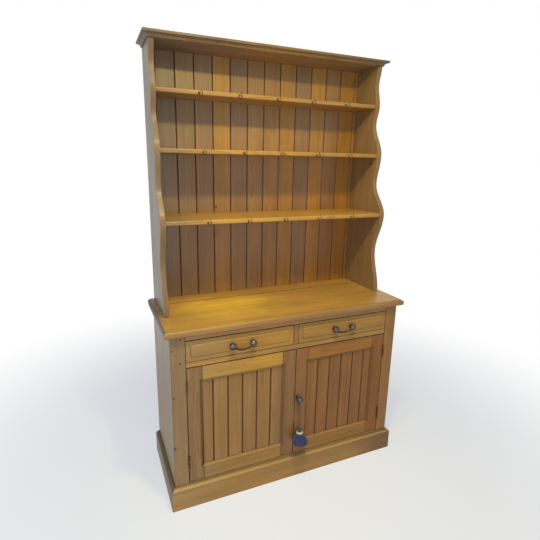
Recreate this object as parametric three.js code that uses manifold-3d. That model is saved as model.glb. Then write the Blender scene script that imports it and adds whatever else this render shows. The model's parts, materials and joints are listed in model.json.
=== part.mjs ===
// A Welsh dresser in pine: an open plate rack that stands on a base with two drawers and two doors.
// Millimetres, +Z up, the front faces -Y. In the model X = 0 is the middle of the base, Y = 0 the front
// of its face frame and Z = 0 the floor. The last lines move the finished dresser back or forward, so that
// its origin lies on the floor under the middle of its outline.

import * as THREE from 'three';
import { mergeVertices } from 'three/addons/utils/BufferGeometryUtils.js';
import Module from 'manifold-3d';

const wasm = await Module();
wasm.setup();

// Clearances that the whole dresser shares
const seam = 0.3;
const overrun = 6;
const weld = 0.0001;

// Base: the carcass and its face frame
const caseWidth = 1170;
const caseDepth = 445;
const worktopHeight = 872;
const sideThickness = 22;
const frameThickness = 22;
const stileWidth = 64;
const topRailHeight = 27;
const middleRailHeight = 25;
const drawerOpeningHeight = 99;
const muntinWidth = 24;
const muntinShift = 3;
const floorThickness = 19;
const floorAbovePlinth = 7;
const backThickness = 10;
const backRebate = 8;
const backInset = 1;
const backGroundGap = 20;
const backGrooveCount = 11;
const cupboardShelfHeight = 388;
const cupboardShelfThickness = 18;
const cupboardShelfClearance = 2;

// Worktop with a thumbnail edge and a stopped plate groove
const worktopThickness = 29;
const worktopSideOverhang = 25;
const worktopFrontOverhang = 23;
const thumbnailRadius = 10;
const thumbnailFillet = 2.5;
const worktopUnderChamfer = 4;
const plateGrooveFromBoards = 98;
const plateGrooveFromSides = 40;
const plateGrooveRadius = 4;
const plateGrooveDepth = 2.5;

// Plinth, mitred at the front corners, with a rounded top mould
const plinthHeight = 110;
const plinthThickness = 19;
const plinthMouldHeight = 11;
const plinthMouldFillet = 2;
const plinthTopLand = 7;

// Plate rack
const rackInset = 7;
const rackSideThickness = 23;
const rackShelfThickness = 20;
const shelfNoseRadius = 5;
const shelfHousing = 6;
const bottomBay = 405;
const middleBay = 281;
const upperBay = 226;
const topBay = 182;
const bottomShelfDepth = 274;
const middleShelfDepth = 215;
const topShelfDepth = 171;
const crestLead = 9;
const rackFootDepth = 295;
const rackTopDepth = 189;
const bottomHollow = 47;
const middleHollow = 22;
const upperHollow = 17;
const topHollow = 14;
const bottomHollowShare = 0.53;
const middleHollowShare = 0.53;
const upperHollowShare = 0.66;
const topHollowShare = 0.55;
const waveSteps = 8;

// Tongued and grooved boards at the back of the rack
const rackBoardCount = 12;
const rackBoardThickness = 12;
const rackBoardInset = 2;
const rackRebate = 8;
const endStripWidth = 21;
const rackBoardShift = 5;
const tongueThickness = 4;
const tongueLength = 6;
const tongueClearance = 0.4;
const veeWidth = 6;
const veeDepth = 3;

// Top board of the rack: a rounded lip over a cove
const topBoardThickness = 24;
const topBoardSideOverhang = 24;
const topBoardFrontOverhang = 27;
const lipHeight = 10;
const lipRound = 3;
const lipStep = 2;
const coveWidth = 17;

// Drawers
const drawerSideGap = 2;
const drawerTopGap = 3;
const drawerBottomGap = 1.5;
const drawerFrontSetback = 1;
const drawerFrontThickness = 20;
const drawerBorder = 20;
const drawerFieldRise = 3;
const drawerFieldSlope = 3;
const drawerBoxTopGap = 15;
const drawerBoxBackGap = 34;
const drawerBoxWall = 12;
const drawerBottomThickness = 8;
const drawerBottomLift = 8;
const runnerThickness = 20;
const runnerWidth = 60;
const guideHeight = 14;
const guideGap = 0.6;

// Drop handles: a bail between two round posts on each drawer
const postSpacing = 96;
const postBallRadius = 11.5;
const postReach = 18;
const postNeckRadius = 4.5;
const postFlangeRadius = 8;
const postFlangeThickness = 2;
const postStudRadius = 2.5;
const postNutRadius = 6;
const postNutThickness = 4;
const studClearance = 0.4;
const bailDrop = 20;
const bailEndRadius = 2.4;
const bailMiddleRadius = 3.7;
const bailBoreDepth = 6;
const bailBoreClearance = 0.5;
const bailPinLead = 0.5;
const bailFlatShare = 0.6;
const leftHandleShift = -2;
const rightHandleShift = -10;

// Doors
const meetingShift = 8;
const meetingGap = 2.5;
const doorTopGap = 3;
const doorBottomGap = 3.5;
const doorSetback = 0.5;
const doorThickness = 22;
const doorStileFlat = 57;
const doorTopRailFlat = 64;
const doorBottomRailFlat = 60;
const doorBevelWidth = 12;
const doorBevelDepth = 8;
const doorBevelLand = 1.5;
const doorPanelThickness = 9;
const doorPanelHousing = 8;
const doorPanelClearance = 0.5;
const doorGrooveCount = 5;
const doorEdgeBoardShare = 0.75;
const leftBoardShift = -4;
const rightBoardShift = 7;

// Butt hinges
const hingeLength = 64;
const hingeFromDoorTop = 94;
const hingeFromDoorBottom = 109;
const knuckleRadius = 4;
const leafThickness = 1.6;
const leafDepth = 20;
const leafGap = 0.6;

// Latch knob, which turns a tongue behind the left door
const knobFromMeeting = 16;
const knobHeight = 430;
const knobBallRadius = 11.5;
const knobReach = 26;
const knobNeckRadius = 4.5;
const roseRadius = 13;
const roseThickness = 3;
const spindleRadius = 4;
const spindleClearance = 0.5;
const tongueHubRadius = 9;
const tongueWidth = 14;
const tongueReach = 42;
const latchTongueThickness = 4;
const latchTongueGap = 2;

// Tassel, hung on the knob's neck and leaning on the door
const tasselDoorGap = 1.3;
const tasselCordRadius = 1.6;
const tasselLoopLength = 62;
const tasselLoopClearance = 0.5;
const tasselCordLength = 151;
const tasselHeadRadius = 12;
const tasselHeadHeight = 18;
const tasselRingRadius = 17.5;
const tasselRingHeight = 10;
const tasselShoulderRadius = 21;
const tasselSkirtRadius = 41;
const tasselSkirtHeight = 44;
const tasselHemHeight = 6;
const tasselHemShare = 0.86;
const tasselFlareShare = 0.8;
const tasselNeckShare = 0.7;

// Smoothness of the round pieces
const roundSides = 24;
const tubeSides = 8;
const arcSteps = 6;
const bailSteps = 24;

// Levels and widths that follow from the sizes above
const halfCase = caseWidth / 2;
const sideInner = halfCase - sideThickness;
const stileInner = halfCase - stileWidth;
const caseTop = worktopHeight - worktopThickness;
const drawerOpeningTop = caseTop - topRailHeight;
const drawerOpeningBottom = drawerOpeningTop - drawerOpeningHeight;
const middleRailBottom = drawerOpeningBottom - middleRailHeight;
const floorTop = plinthHeight + floorAbovePlinth;
const backFace = caseDepth - backInset - backThickness;
const muntinLeft = muntinShift - muntinWidth / 2;
const muntinRight = muntinShift + muntinWidth / 2;
const halfRack = halfCase - rackInset;
const rackInner = halfRack - rackSideThickness;
const rackBoardFace = caseDepth - rackBoardInset - rackBoardThickness;
const bottomShelfTop = worktopHeight + bottomBay + rackShelfThickness;
const middleShelfTop = bottomShelfTop + middleBay + rackShelfThickness;
const topShelfTop = middleShelfTop + upperBay + rackShelfThickness;
const rackTop = topShelfTop + topBay;
const dresserHeight = rackTop + topBoardThickness;
const hingeGap = seam + leafThickness + leafGap;
const hingeX = stileInner - hingeGap / 2;
const hingeY = -knuckleRadius - seam;
const doorTop = middleRailBottom - doorTopGap;
const doorBottom = floorTop + doorBottomGap;
const doorOuter = stileInner - hingeGap;
const drawerFace = drawerFrontSetback - drawerFieldRise;
const knobX = meetingShift + knobFromMeeting;
const neckMiddle = doorSetback - (roseThickness + seam + knobReach - knobBallRadius) / 2;

const shelves = [
  { name: 'bottom', top: bottomShelfTop, depth: bottomShelfDepth },
  { name: 'middle', top: middleShelfTop, depth: middleShelfDepth },
  { name: 'top', top: topShelfTop, depth: topShelfDepth },
];

const PINE = 0xb4863f;
const PINE_DARK = 0x9a6c35;
const PINE_LIGHT = 0xc79a4c;
const PEWTER = 0x5c5854;
const NAVY = 0x3a4270;
const CORD_GREY = 0x4a4a5c;

function wood(colour) {
  return new THREE.MeshStandardMaterial({ color: colour, roughness: 0.55, metalness: 0 });
}

function metal() {
  return new THREE.MeshStandardMaterial({ color: PEWTER, roughness: 0.4, metalness: 0.9 });
}

function yarn(colour) {
  return new THREE.MeshStandardMaterial({ color: colour, roughness: 0.95, metalness: 0 });
}

function named(name, geometry, material) {
  const mesh = new THREE.Mesh(geometry, material);
  mesh.name = name;
  return mesh;
}

// A sawn board between two limits on each axis
function block(xs, ys, zs) {
  const low = new THREE.Vector3(Math.min(...xs), Math.min(...ys), Math.min(...zs));
  const high = new THREE.Vector3(Math.max(...xs), Math.max(...ys), Math.max(...zs));
  const size = high.clone().sub(low);
  const middle = high.clone().add(low).multiplyScalar(0.5);
  return new THREE.BoxGeometry(size.x, size.y, size.z).translate(middle.x, middle.y, middle.z);
}

// Outlines drawn in two of the axes and pulled straight along the third
function alongX(outline, from, to) {
  const geometry = new THREE.ExtrudeGeometry(outline, { depth: to - from, bevelEnabled: false });
  const turn = new THREE.Matrix4().makeBasis(
    new THREE.Vector3(0, 1, 0),
    new THREE.Vector3(0, 0, 1),
    new THREE.Vector3(1, 0, 0),
  );
  return geometry.applyMatrix4(turn).translate(from, 0, 0);
}

function alongZ(outline, from, to) {
  const geometry = new THREE.ExtrudeGeometry(outline, { depth: to - from, bevelEnabled: false });
  return geometry.translate(0, 0, from);
}

function bareTriangles(geometry) {
  const plain = geometry.clone();
  plain.deleteAttribute('normal');
  plain.deleteAttribute('uv');
  const merged = mergeVertices(plain, weld);
  const index = merged.index.array;
  const kept = [];
  for (let i = 0; i < index.length; i += 3) {
    const [a, b, c] = [index[i], index[i + 1], index[i + 2]];
    if (a !== b && b !== c && c !== a) {
      kept.push(a, b, c);
    }
  }
  merged.setIndex(kept);
  return merged;
}

function signedVolume(geometry) {
  const place = geometry.attributes.position;
  const index = geometry.index.array;
  const [a, b, c] = [new THREE.Vector3(), new THREE.Vector3(), new THREE.Vector3()];
  let volume = 0;
  for (let i = 0; i < index.length; i += 3) {
    a.fromBufferAttribute(place, index[i]);
    b.fromBufferAttribute(place, index[i + 1]);
    c.fromBufferAttribute(place, index[i + 2]);
    volume += a.dot(b.cross(c));
  }
  return volume;
}

// Turns the faces outwards where an outline was drawn the other way round
function facingOut(geometry) {
  const bare = bareTriangles(geometry);
  if (signedVolume(bare) < 0) {
    const index = Array.from(bare.index.array);
    for (let i = 0; i < index.length; i += 3) {
      [index[i], index[i + 1]] = [index[i + 1], index[i]];
    }
    bare.setIndex(index);
  }
  return bare;
}

function solidOf(geometry) {
  const bare = facingOut(geometry);
  const vertProperties = new Float32Array(bare.attributes.position.array);
  const triVerts = new Uint32Array(bare.index.array);
  return new wasm.Manifold(new wasm.Mesh({ numProp: 3, vertProperties, triVerts }));
}

function geometryOf(solid) {
  const mesh = solid.getMesh();
  const geometry = new THREE.BufferGeometry();
  geometry.setAttribute('position', new THREE.BufferAttribute(mesh.vertProperties, 3));
  geometry.setIndex(new THREE.BufferAttribute(mesh.triVerts, 1));
  geometry.computeVertexNormals();
  return geometry;
}

function cut(geometry, ...cutters) {
  return geometryOf(cutters.reduce((solid, cutter) => solid.subtract(solidOf(cutter)), solidOf(geometry)));
}

function joined(geometry, ...others) {
  return geometryOf(others.reduce((solid, other) => solid.add(solidOf(other)), solidOf(geometry)));
}

// Skins a row of rings that all have the same number of points, and closes the two ends or the circuit
function skin(rings, circuit = false) {
  const sides = rings[0].length;
  const points = rings.flat();
  const index = [];
  const spans = circuit ? rings.length : rings.length - 1;
  for (let r = 0; r < spans; r += 1) {
    const here = r * sides;
    const next = ((r + 1) % rings.length) * sides;
    for (let s = 0; s < sides; s += 1) {
      const t = (s + 1) % sides;
      index.push(here + s, here + t, next + t, here + s, next + t, next + s);
    }
  }
  if (!circuit) {
    const last = (rings.length - 1) * sides;
    for (let s = 1; s < sides - 1; s += 1) {
      index.push(0, s + 1, s, last, last + s, last + s + 1);
    }
  }
  const geometry = new THREE.BufferGeometry();
  geometry.setAttribute('position', new THREE.Float32BufferAttribute(points.flatMap((p) => p.toArray()), 3));
  geometry.setIndex(index);
  return facingOut(geometry);
}

// A piece turned on a lathe whose axis is Y: the profile is a list of [radius, place along Y]
function turned(profile) {
  const points = profile.map(([radius, along]) => new THREE.Vector2(radius, along));
  return facingOut(new THREE.LatheGeometry(points, roundSides));
}

function ballProfile(radius, centre, neckRadius, neckSide) {
  const start = Math.asin(neckRadius / radius);
  const points = [];
  for (let i = 0; i <= arcSteps * 2; i += 1) {
    const angle = start + ((Math.PI - start) * i) / (arcSteps * 2);
    points.push([radius * Math.sin(angle), centre + neckSide * radius * Math.cos(angle)]);
  }
  points[points.length - 1][0] = 0;
  return points;
}

// A board whose front and side edges carry a moulding: each level is [inset from the edge, height]
function mouldedBoard(halfWidth, front, back, levels) {
  const rings = levels.map(([inset, height]) => [
    new THREE.Vector3(inset - halfWidth, front + inset, height),
    new THREE.Vector3(halfWidth - inset, front + inset, height),
    new THREE.Vector3(halfWidth - inset, back, height),
    new THREE.Vector3(inset - halfWidth, back, height),
  ]);
  return skin(rings);
}

// A flat panel of boards with a vee between each two, on the face that looks towards -Y
function boardedOutline(left, right, face, thickness, grooves) {
  const outline = new THREE.Shape();
  outline.moveTo(left, face);
  for (const x of grooves) {
    outline.lineTo(x - veeWidth / 2, face);
    outline.lineTo(x, face + veeDepth);
    outline.lineTo(x + veeWidth / 2, face);
  }
  outline.lineTo(right, face);
  outline.lineTo(right, face + thickness);
  outline.lineTo(left, face + thickness);
  outline.closePath();
  return outline;
}

// Base

function worktopLevels() {
  const top = worktopHeight;
  const levels = [[thumbnailRadius, top]];
  for (let i = 0; i <= arcSteps; i += 1) {
    const angle = (Math.PI / 2) * (i / arcSteps);
    const inset = thumbnailRadius * (1 - Math.sin(angle));
    levels.push([inset, top - thumbnailFillet - thumbnailRadius * (1 - Math.cos(angle))]);
  }
  levels.push([0, caseTop + worktopUnderChamfer]);
  levels.push([worktopUnderChamfer, caseTop]);
  return levels;
}

function worktop() {
  const half = halfCase + worktopSideOverhang;
  const board = mouldedBoard(half, -worktopFrontOverhang, caseDepth, worktopLevels());
  const reach = rackInner - plateGrooveFromSides;
  const length = reach * 2;
  const groove = new THREE.CylinderGeometry(plateGrooveRadius, plateGrooveRadius, length, roundSides);
  groove.rotateZ(Math.PI / 2);
  const centre = worktopHeight + plateGrooveRadius - plateGrooveDepth;
  groove.translate(0, rackBoardFace - plateGrooveFromBoards, centre);
  return named('worktop', cut(board, groove), wood(PINE_LIGHT));
}

function caseSide(name, hand) {
  const side = block(
    [hand * sideInner, hand * halfCase],
    [frameThickness + seam, caseDepth],
    [0, caseTop - seam],
  );
  const rebate = block(
    [hand * (sideInner - overrun), hand * (sideInner + backRebate)],
    [backFace - seam, caseDepth + overrun],
    [-overrun, caseTop + overrun],
  );
  return named(name, cut(side, rebate), wood(PINE));
}

function faceFrame() {
  const group = new THREE.Group();
  const depth = [0, frameThickness];
  const inner = stileInner - seam;
  for (const [name, hand] of [['left', -1], ['right', 1]]) {
    const stile = block([hand * stileInner, hand * halfCase], depth, [0, caseTop - seam]);
    group.add(named(`front_stile_${name}`, stile, wood(PINE)));
  }
  const topRail = block([-inner, inner], depth, [drawerOpeningTop, caseTop - seam]);
  group.add(named('front_top_rail', topRail, wood(PINE)));
  const middleRail = block([-inner, inner], depth, [middleRailBottom, drawerOpeningBottom]);
  group.add(named('front_middle_rail', middleRail, wood(PINE)));
  const heights = [drawerOpeningBottom + seam, drawerOpeningTop - seam];
  const muntin = block([muntinLeft, muntinRight], depth, heights);
  group.add(named('front_muntin', muntin, wood(PINE)));
  return group;
}

function caseFloor() {
  const wide = sideInner - seam;
  const narrow = stileInner - seam;
  const outline = new THREE.Shape();
  outline.moveTo(-narrow, 0);
  outline.lineTo(narrow, 0);
  outline.lineTo(narrow, frameThickness + seam);
  outline.lineTo(wide, frameThickness + seam);
  outline.lineTo(wide, backFace - seam);
  outline.lineTo(-wide, backFace - seam);
  outline.lineTo(-wide, frameThickness + seam);
  outline.lineTo(-narrow, frameThickness + seam);
  outline.closePath();
  return named('case_floor', alongZ(outline, floorTop - floorThickness, floorTop), wood(PINE_DARK));
}

function evenGrooves(left, right, count) {
  const pitch = (right - left) / (count + 1);
  return Array.from({ length: count }, (_, i) => left + pitch * (i + 1));
}

function caseBack() {
  const edge = sideInner + backRebate - seam;
  const grooves = evenGrooves(-sideInner, sideInner, backGrooveCount);
  const outline = boardedOutline(-edge, edge, backFace, backThickness, grooves);
  return named('case_back', alongZ(outline, backGroundGap, caseTop - seam), wood(PINE_DARK));
}

function cupboardShelf() {
  const wide = sideInner - seam;
  const tongueBack = doorSetback + doorThickness + latchTongueGap + latchTongueThickness;
  const board = block(
    [-wide, wide],
    [tongueBack + cupboardShelfClearance, backFace - seam],
    [cupboardShelfHeight - cupboardShelfThickness, cupboardShelfHeight],
  );
  return named('cupboard_shelf', board, wood(PINE_DARK));
}

// The frame that the drawers run on, with its three guides
function drawerRunnerFrame() {
  const wide = sideInner - seam;
  const front = frameThickness + seam;
  const back = backFace - seam;
  const heights = [drawerOpeningBottom - runnerThickness, drawerOpeningBottom];
  const frame = block([-wide, wide], [front, back], heights);
  const throughHeights = [heights[0] - overrun, heights[1] + overrun];
  const depth = [front + runnerWidth, back - runnerWidth];
  const outer = stileInner - runnerWidth;
  const leftGap = block([-outer, muntinLeft - runnerWidth], depth, throughHeights);
  const rightGap = block([muntinRight + runnerWidth, outer], depth, throughHeights);
  const guideLevels = [drawerOpeningBottom - runnerThickness / 2, drawerOpeningBottom + guideHeight];
  const sideGuide = stileInner - drawerSideGap + guideGap;
  const middle = [muntinLeft - drawerSideGap + guideGap, muntinRight + drawerSideGap - guideGap];
  const guides = [
    block([-wide, -sideGuide], [front, back], guideLevels),
    block(middle, [front, back], guideLevels),
    block([sideGuide, wide], [front, back], guideLevels),
  ];
  return named('drawer_runner_frame', joined(cut(frame, leftGap, rightGap), ...guides), wood(PINE_DARK));
}

// Outline of the plinth board: distance out from the case, and height
function plinthOutline() {
  const outline = new THREE.Shape();
  const shoulder = plinthHeight - plinthMouldFillet;
  const out = plinthThickness - plinthTopLand;
  outline.moveTo(seam, 0);
  outline.lineTo(plinthThickness, 0);
  for (let i = 0; i <= arcSteps; i += 1) {
    const angle = (Math.PI / 2) * (i / arcSteps);
    const across = plinthTopLand + out * Math.cos(angle);
    outline.lineTo(across, shoulder - plinthMouldHeight * (1 - Math.sin(angle)));
  }
  outline.lineTo(plinthTopLand, plinthHeight);
  outline.lineTo(seam, plinthHeight);
  outline.closePath();
  return outline;
}

// Each plinth board is mitred: its end moves out as far as the point lies from the case
function plinthBoard(name, length, startMitre, endMitre, out, start) {
  const geometry = new THREE.ExtrudeGeometry(plinthOutline(), { depth: length, bevelEnabled: false });
  const place = geometry.attributes.position;
  for (let i = 0; i < place.count; i += 1) {
    const atEnd = place.getZ(i) > length / 2;
    const mitre = atEnd ? endMitre : -startMitre;
    place.setZ(i, place.getZ(i) + mitre * (place.getX(i) - seam));
  }
  const up = new THREE.Vector3(0, 0, 1);
  const along = out.clone().cross(up);
  const board = named(name, facingOut(geometry), wood(PINE));
  board.quaternion.setFromRotationMatrix(new THREE.Matrix4().makeBasis(out, up, along));
  board.position.copy(start);
  return board;
}

function plinth() {
  const group = new THREE.Group();
  const toFront = new THREE.Vector3(0, -1, 0);
  const toLeft = new THREE.Vector3(-1, 0, 0);
  const toRight = new THREE.Vector3(1, 0, 0);
  const frontStart = new THREE.Vector3(halfCase, 0, 0);
  const leftStart = new THREE.Vector3(-halfCase, -seam, 0);
  const rightStart = new THREE.Vector3(halfCase, caseDepth, 0);
  const sideLength = caseDepth + seam;
  group.add(plinthBoard('plinth_front', caseWidth, 1, 1, toFront, frontStart));
  group.add(plinthBoard('plinth_left', sideLength, 1, 0, toLeft, leftStart));
  group.add(plinthBoard('plinth_right', sideLength, 0, 1, toRight, rightStart));
  return group;
}

function base() {
  const group = new THREE.Group();
  group.add(worktop());
  group.add(caseSide('case_side_left', -1));
  group.add(caseSide('case_side_right', 1));
  group.add(faceFrame());
  group.add(caseFloor());
  group.add(caseBack());
  group.add(cupboardShelf());
  group.add(drawerRunnerFrame());
  group.add(plinth());
  return group;
}

// Plate rack

// The front edge of a rack side swings from a crest at each shelf to a hollow between each two shelves.
// Each turn has a depth, forward of the back, and a height above the worktop. They run from the foot up.
function rackEdgeTurns() {
  const [bottom, middle, top] = shelves.map((shelf) => ({
    depth: caseDepth - rackBoardFace + shelf.depth + crestLead,
    height: shelf.top - rackShelfThickness / 2 - worktopHeight,
  }));
  const foot = { depth: rackFootDepth, height: 0 };
  const head = { depth: rackTopDepth, height: rackTop - worktopHeight };
  const hollow = (low, high, share, inward) => ({
    depth: Math.min(low.depth, high.depth) - inward,
    height: low.height + (high.height - low.height) * share,
  });
  return [
    foot,
    hollow(foot, bottom, bottomHollowShare, bottomHollow),
    bottom,
    hollow(bottom, middle, middleHollowShare, middleHollow),
    middle,
    hollow(middle, top, upperHollowShare, upperHollow),
    top,
    hollow(top, head, topHollowShare, topHollow),
    head,
  ];
}

function rackSideOutline() {
  const turns = rackEdgeTurns();
  const low = worktopHeight + seam;
  const high = rackTop - seam;
  const outline = new THREE.Shape();
  outline.moveTo(caseDepth, high);
  outline.lineTo(caseDepth, low);
  for (let i = 0; i < turns.length - 1; i += 1) {
    const [from, to] = [turns[i], turns[i + 1]];
    for (let s = i === 0 ? 0 : 1; s <= waveSteps; s += 1) {
      const ease = (1 - Math.cos((Math.PI * s) / waveSteps)) / 2;
      const depth = from.depth + (to.depth - from.depth) * ease;
      const height = worktopHeight + from.height + ((to.height - from.height) * s) / waveSteps;
      outline.lineTo(caseDepth - depth, Math.min(Math.max(height, low), high));
    }
  }
  outline.closePath();
  return outline;
}

function rackSide(name, hand) {
  const inner = hand * rackInner;
  const xs = [inner, hand * halfRack].sort((a, b) => a - b);
  const side = alongX(rackSideOutline(), xs[0], xs[1]);
  const mouth = inner - hand * overrun;
  const rebate = block(
    [mouth, inner + hand * rackRebate],
    [rackBoardFace - seam, caseDepth + overrun],
    [worktopHeight - overrun, rackTop + overrun],
  );
  const housings = shelves.map((shelf) =>
    block(
      [mouth, inner + hand * shelfHousing],
      [rackBoardFace - shelf.depth - seam, rackBoardFace],
      [shelf.top - rackShelfThickness - seam, shelf.top + seam],
    ),
  );
  return named(name, cut(side, rebate, ...housings), wood(PINE));
}

function rackShelf({ name, top, depth }) {
  const front = rackBoardFace - depth;
  const back = rackBoardFace - seam;
  const under = top - rackShelfThickness;
  const outline = new THREE.Shape();
  outline.moveTo(back, under);
  outline.lineTo(back, top);
  outline.lineTo(front + shelfNoseRadius, top);
  outline.absarc(front + shelfNoseRadius, top - shelfNoseRadius, shelfNoseRadius, Math.PI / 2, Math.PI);
  outline.absarc(
    front + shelfNoseRadius,
    under + shelfNoseRadius,
    shelfNoseRadius,
    Math.PI,
    (Math.PI * 3) / 2,
  );
  outline.closePath();
  const half = rackInner + shelfHousing - seam;
  return named(`rack_shelf_${name}`, alongX(outline, -half, half), wood(PINE_LIGHT));
}

// One matchboard, with its groove on the left, its tongue on the right and half a vee at each joint.
// The first and the last one also carry the narrow strip that fills the back out to the side.
function rackBoard(number) {
  const pitch = ((rackInner - endStripWidth) * 2) / rackBoardCount;
  const start = rackBoardShift + endStripWidth - rackInner;
  const first = number === 1;
  const last = number === rackBoardCount;
  const edge = rackInner + rackRebate - seam;
  const left = first ? -edge : start + pitch * (number - 1) + seam / 2;
  const right = last ? edge : start + pitch * number - seam / 2;
  const face = rackBoardFace;
  const back = rackBoardFace + rackBoardThickness;
  const tongueFace = face + (rackBoardThickness - tongueThickness) / 2;
  const tongueBack = tongueFace + tongueThickness;
  const grooveLength = tongueLength + tongueClearance;
  const outline = new THREE.Shape();
  outline.moveTo(left, back);
  if (!first) {
    outline.lineTo(left, tongueBack + tongueClearance);
    outline.lineTo(left + grooveLength, tongueBack + tongueClearance);
    outline.lineTo(left + grooveLength, tongueFace - tongueClearance);
    outline.lineTo(left, tongueFace - tongueClearance);
    outline.lineTo(left, face + veeDepth);
    outline.lineTo(left + veeWidth / 2, face);
  } else {
    outline.lineTo(left, face);
  }
  for (const x of [first ? start : null, last ? start + pitch * number : null]) {
    if (x !== null) {
      outline.lineTo(x - veeWidth / 2, face);
      outline.lineTo(x, face + veeDepth);
      outline.lineTo(x + veeWidth / 2, face);
    }
  }
  if (!last) {
    outline.lineTo(right - veeWidth / 2, face);
    outline.lineTo(right, face + veeDepth);
    outline.lineTo(right, tongueFace);
    outline.lineTo(right + tongueLength, tongueFace);
    outline.lineTo(right + tongueLength, tongueBack);
    outline.lineTo(right, tongueBack);
  } else {
    outline.lineTo(right, face);
  }
  outline.lineTo(right, back);
  outline.closePath();
  const name = `rack_back_board_${String(number).padStart(2, '0')}`;
  const colour = number % 2 === 0 ? PINE : PINE_DARK;
  return named(name, alongZ(outline, worktopHeight + seam, rackTop - seam), wood(colour));
}

function topBoardLevels() {
  const top = dresserHeight;
  const coveHeight = topBoardThickness - lipHeight - lipStep;
  const levels = [];
  for (let i = 0; i <= arcSteps; i += 1) {
    const angle = (Math.PI / 2) * (i / arcSteps);
    levels.push([lipRound * (1 - Math.sin(angle)), top - lipRound * (1 - Math.cos(angle))]);
  }
  levels.push([0, top - lipHeight]);
  for (let i = 0; i <= arcSteps; i += 1) {
    const angle = (Math.PI / 2) * (i / arcSteps);
    const inset = lipStep + coveWidth * Math.sin(angle);
    levels.push([inset, top - lipHeight - coveHeight * (1 - Math.cos(angle))]);
  }
  levels.push([lipStep + coveWidth, rackTop]);
  return levels;
}

function rackTopBoard() {
  const half = halfRack + topBoardSideOverhang;
  const front = caseDepth - rackTopDepth - topBoardFrontOverhang;
  return named('rack_top_board', mouldedBoard(half, front, caseDepth, topBoardLevels()), wood(PINE));
}

function rack() {
  const group = new THREE.Group();
  group.add(rackSide('rack_side_left', -1));
  group.add(rackSide('rack_side_right', 1));
  group.add(rackTopBoard());
  for (const shelf of shelves) {
    group.add(rackShelf(shelf));
  }
  for (let number = 1; number <= rackBoardCount; number += 1) {
    group.add(rackBoard(number));
  }
  return group;
}

// Drawers

// Four corners of a panel that stands upright, drawn in by an inset, at a place along Y
function uprightRing({ left, right, bottom, top }, inset, y) {
  return [
    new THREE.Vector3(left + inset, y, bottom + inset),
    new THREE.Vector3(right - inset, y, bottom + inset),
    new THREE.Vector3(right - inset, y, top - inset),
    new THREE.Vector3(left + inset, y, top - inset),
  ];
}

function rodAlongY(radius, x, z, from, to) {
  const rod = new THREE.CylinderGeometry(radius, radius, to - from, roundSides);
  return rod.translate(x, (from + to) / 2, z);
}

function postPlaces(handle) {
  return [
    { name: 'left', x: handle.x - postSpacing / 2, inward: 1 },
    { name: 'right', x: handle.x + postSpacing / 2, inward: -1 },
  ];
}

function drawerFront(name, panel, handle) {
  const face = drawerFrontSetback;
  const back = face + drawerFrontThickness;
  const rings = [uprightRing(panel, 0, back), uprightRing(panel, 0, face)];
  for (let i = 0; i <= arcSteps; i += 1) {
    const angle = (Math.PI / 2) * (i / arcSteps);
    const inset = drawerBorder + drawerFieldSlope * (1 - Math.cos(angle));
    rings.push(uprightRing(panel, inset, face - drawerFieldRise * Math.sin(angle)));
  }
  const holes = postPlaces(handle).map(({ x }) =>
    rodAlongY(postStudRadius + studClearance, x, handle.z, drawerFace - overrun, back + overrun),
  );
  return named(`${name}_front`, cut(skin(rings), ...holes), wood(PINE));
}

function drawerBox(name, panel) {
  const front = drawerFrontSetback + drawerFrontThickness + seam;
  const back = backFace - drawerBoxBackGap;
  const bottom = drawerOpeningBottom + seam;
  const top = drawerOpeningTop - drawerBoxTopGap;
  const inside = [panel.left + drawerBoxWall, panel.right - drawerBoxWall];
  const depth = [front - overrun, back - drawerBoxWall];
  const shell = block([panel.left, panel.right], [front, back], [bottom, top]);
  const hollow = block(inside, depth, [bottom + drawerBottomLift + drawerBottomThickness, top + overrun]);
  const recess = block(inside, depth, [bottom - overrun, bottom + drawerBottomLift]);
  return named(`${name}_box`, cut(shell, hollow, recess), wood(PINE_DARK));
}

// A turned post with its stud and nut, and a bore on the side that the bail comes from
function handlePost(name, place, z) {
  const inside = drawerFrontSetback + drawerFrontThickness + seam;
  const flange = drawerFace - seam;
  const centre = drawerFace - postReach;
  const profile = [
    [0, inside + postNutThickness],
    [postNutRadius, inside + postNutThickness],
    [postNutRadius, inside],
    [postStudRadius, inside],
    [postStudRadius, flange],
    [postFlangeRadius, flange],
    [postFlangeRadius, flange - postFlangeThickness],
    [postNeckRadius, flange - postFlangeThickness],
    ...ballProfile(postBallRadius, centre, postNeckRadius, 1),
  ];
  const post = turned(profile).translate(place.x, 0, z);
  const boreLength = bailBoreDepth + overrun;
  const boreRadius = bailEndRadius + bailBoreClearance;
  const bore = new THREE.CylinderGeometry(boreRadius, boreRadius, boreLength, roundSides);
  bore.rotateZ(Math.PI / 2);
  const boreMiddle = postBallRadius - bailBoreDepth + boreLength / 2;
  bore.translate(place.x + place.inward * boreMiddle, centre, z);
  return named(`${name}_post_${place.name}`, cut(post, bore), metal());
}

// The drop of the bail below its pins, at a distance from its middle
function bailFall(across, pinStart) {
  const flat = pinStart * bailFlatShare;
  const way = Math.min(Math.max((pinStart - across) / (pinStart - flat), 0), 1);
  return (bailDrop * (1 - Math.cos(Math.PI * way))) / 2;
}

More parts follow.
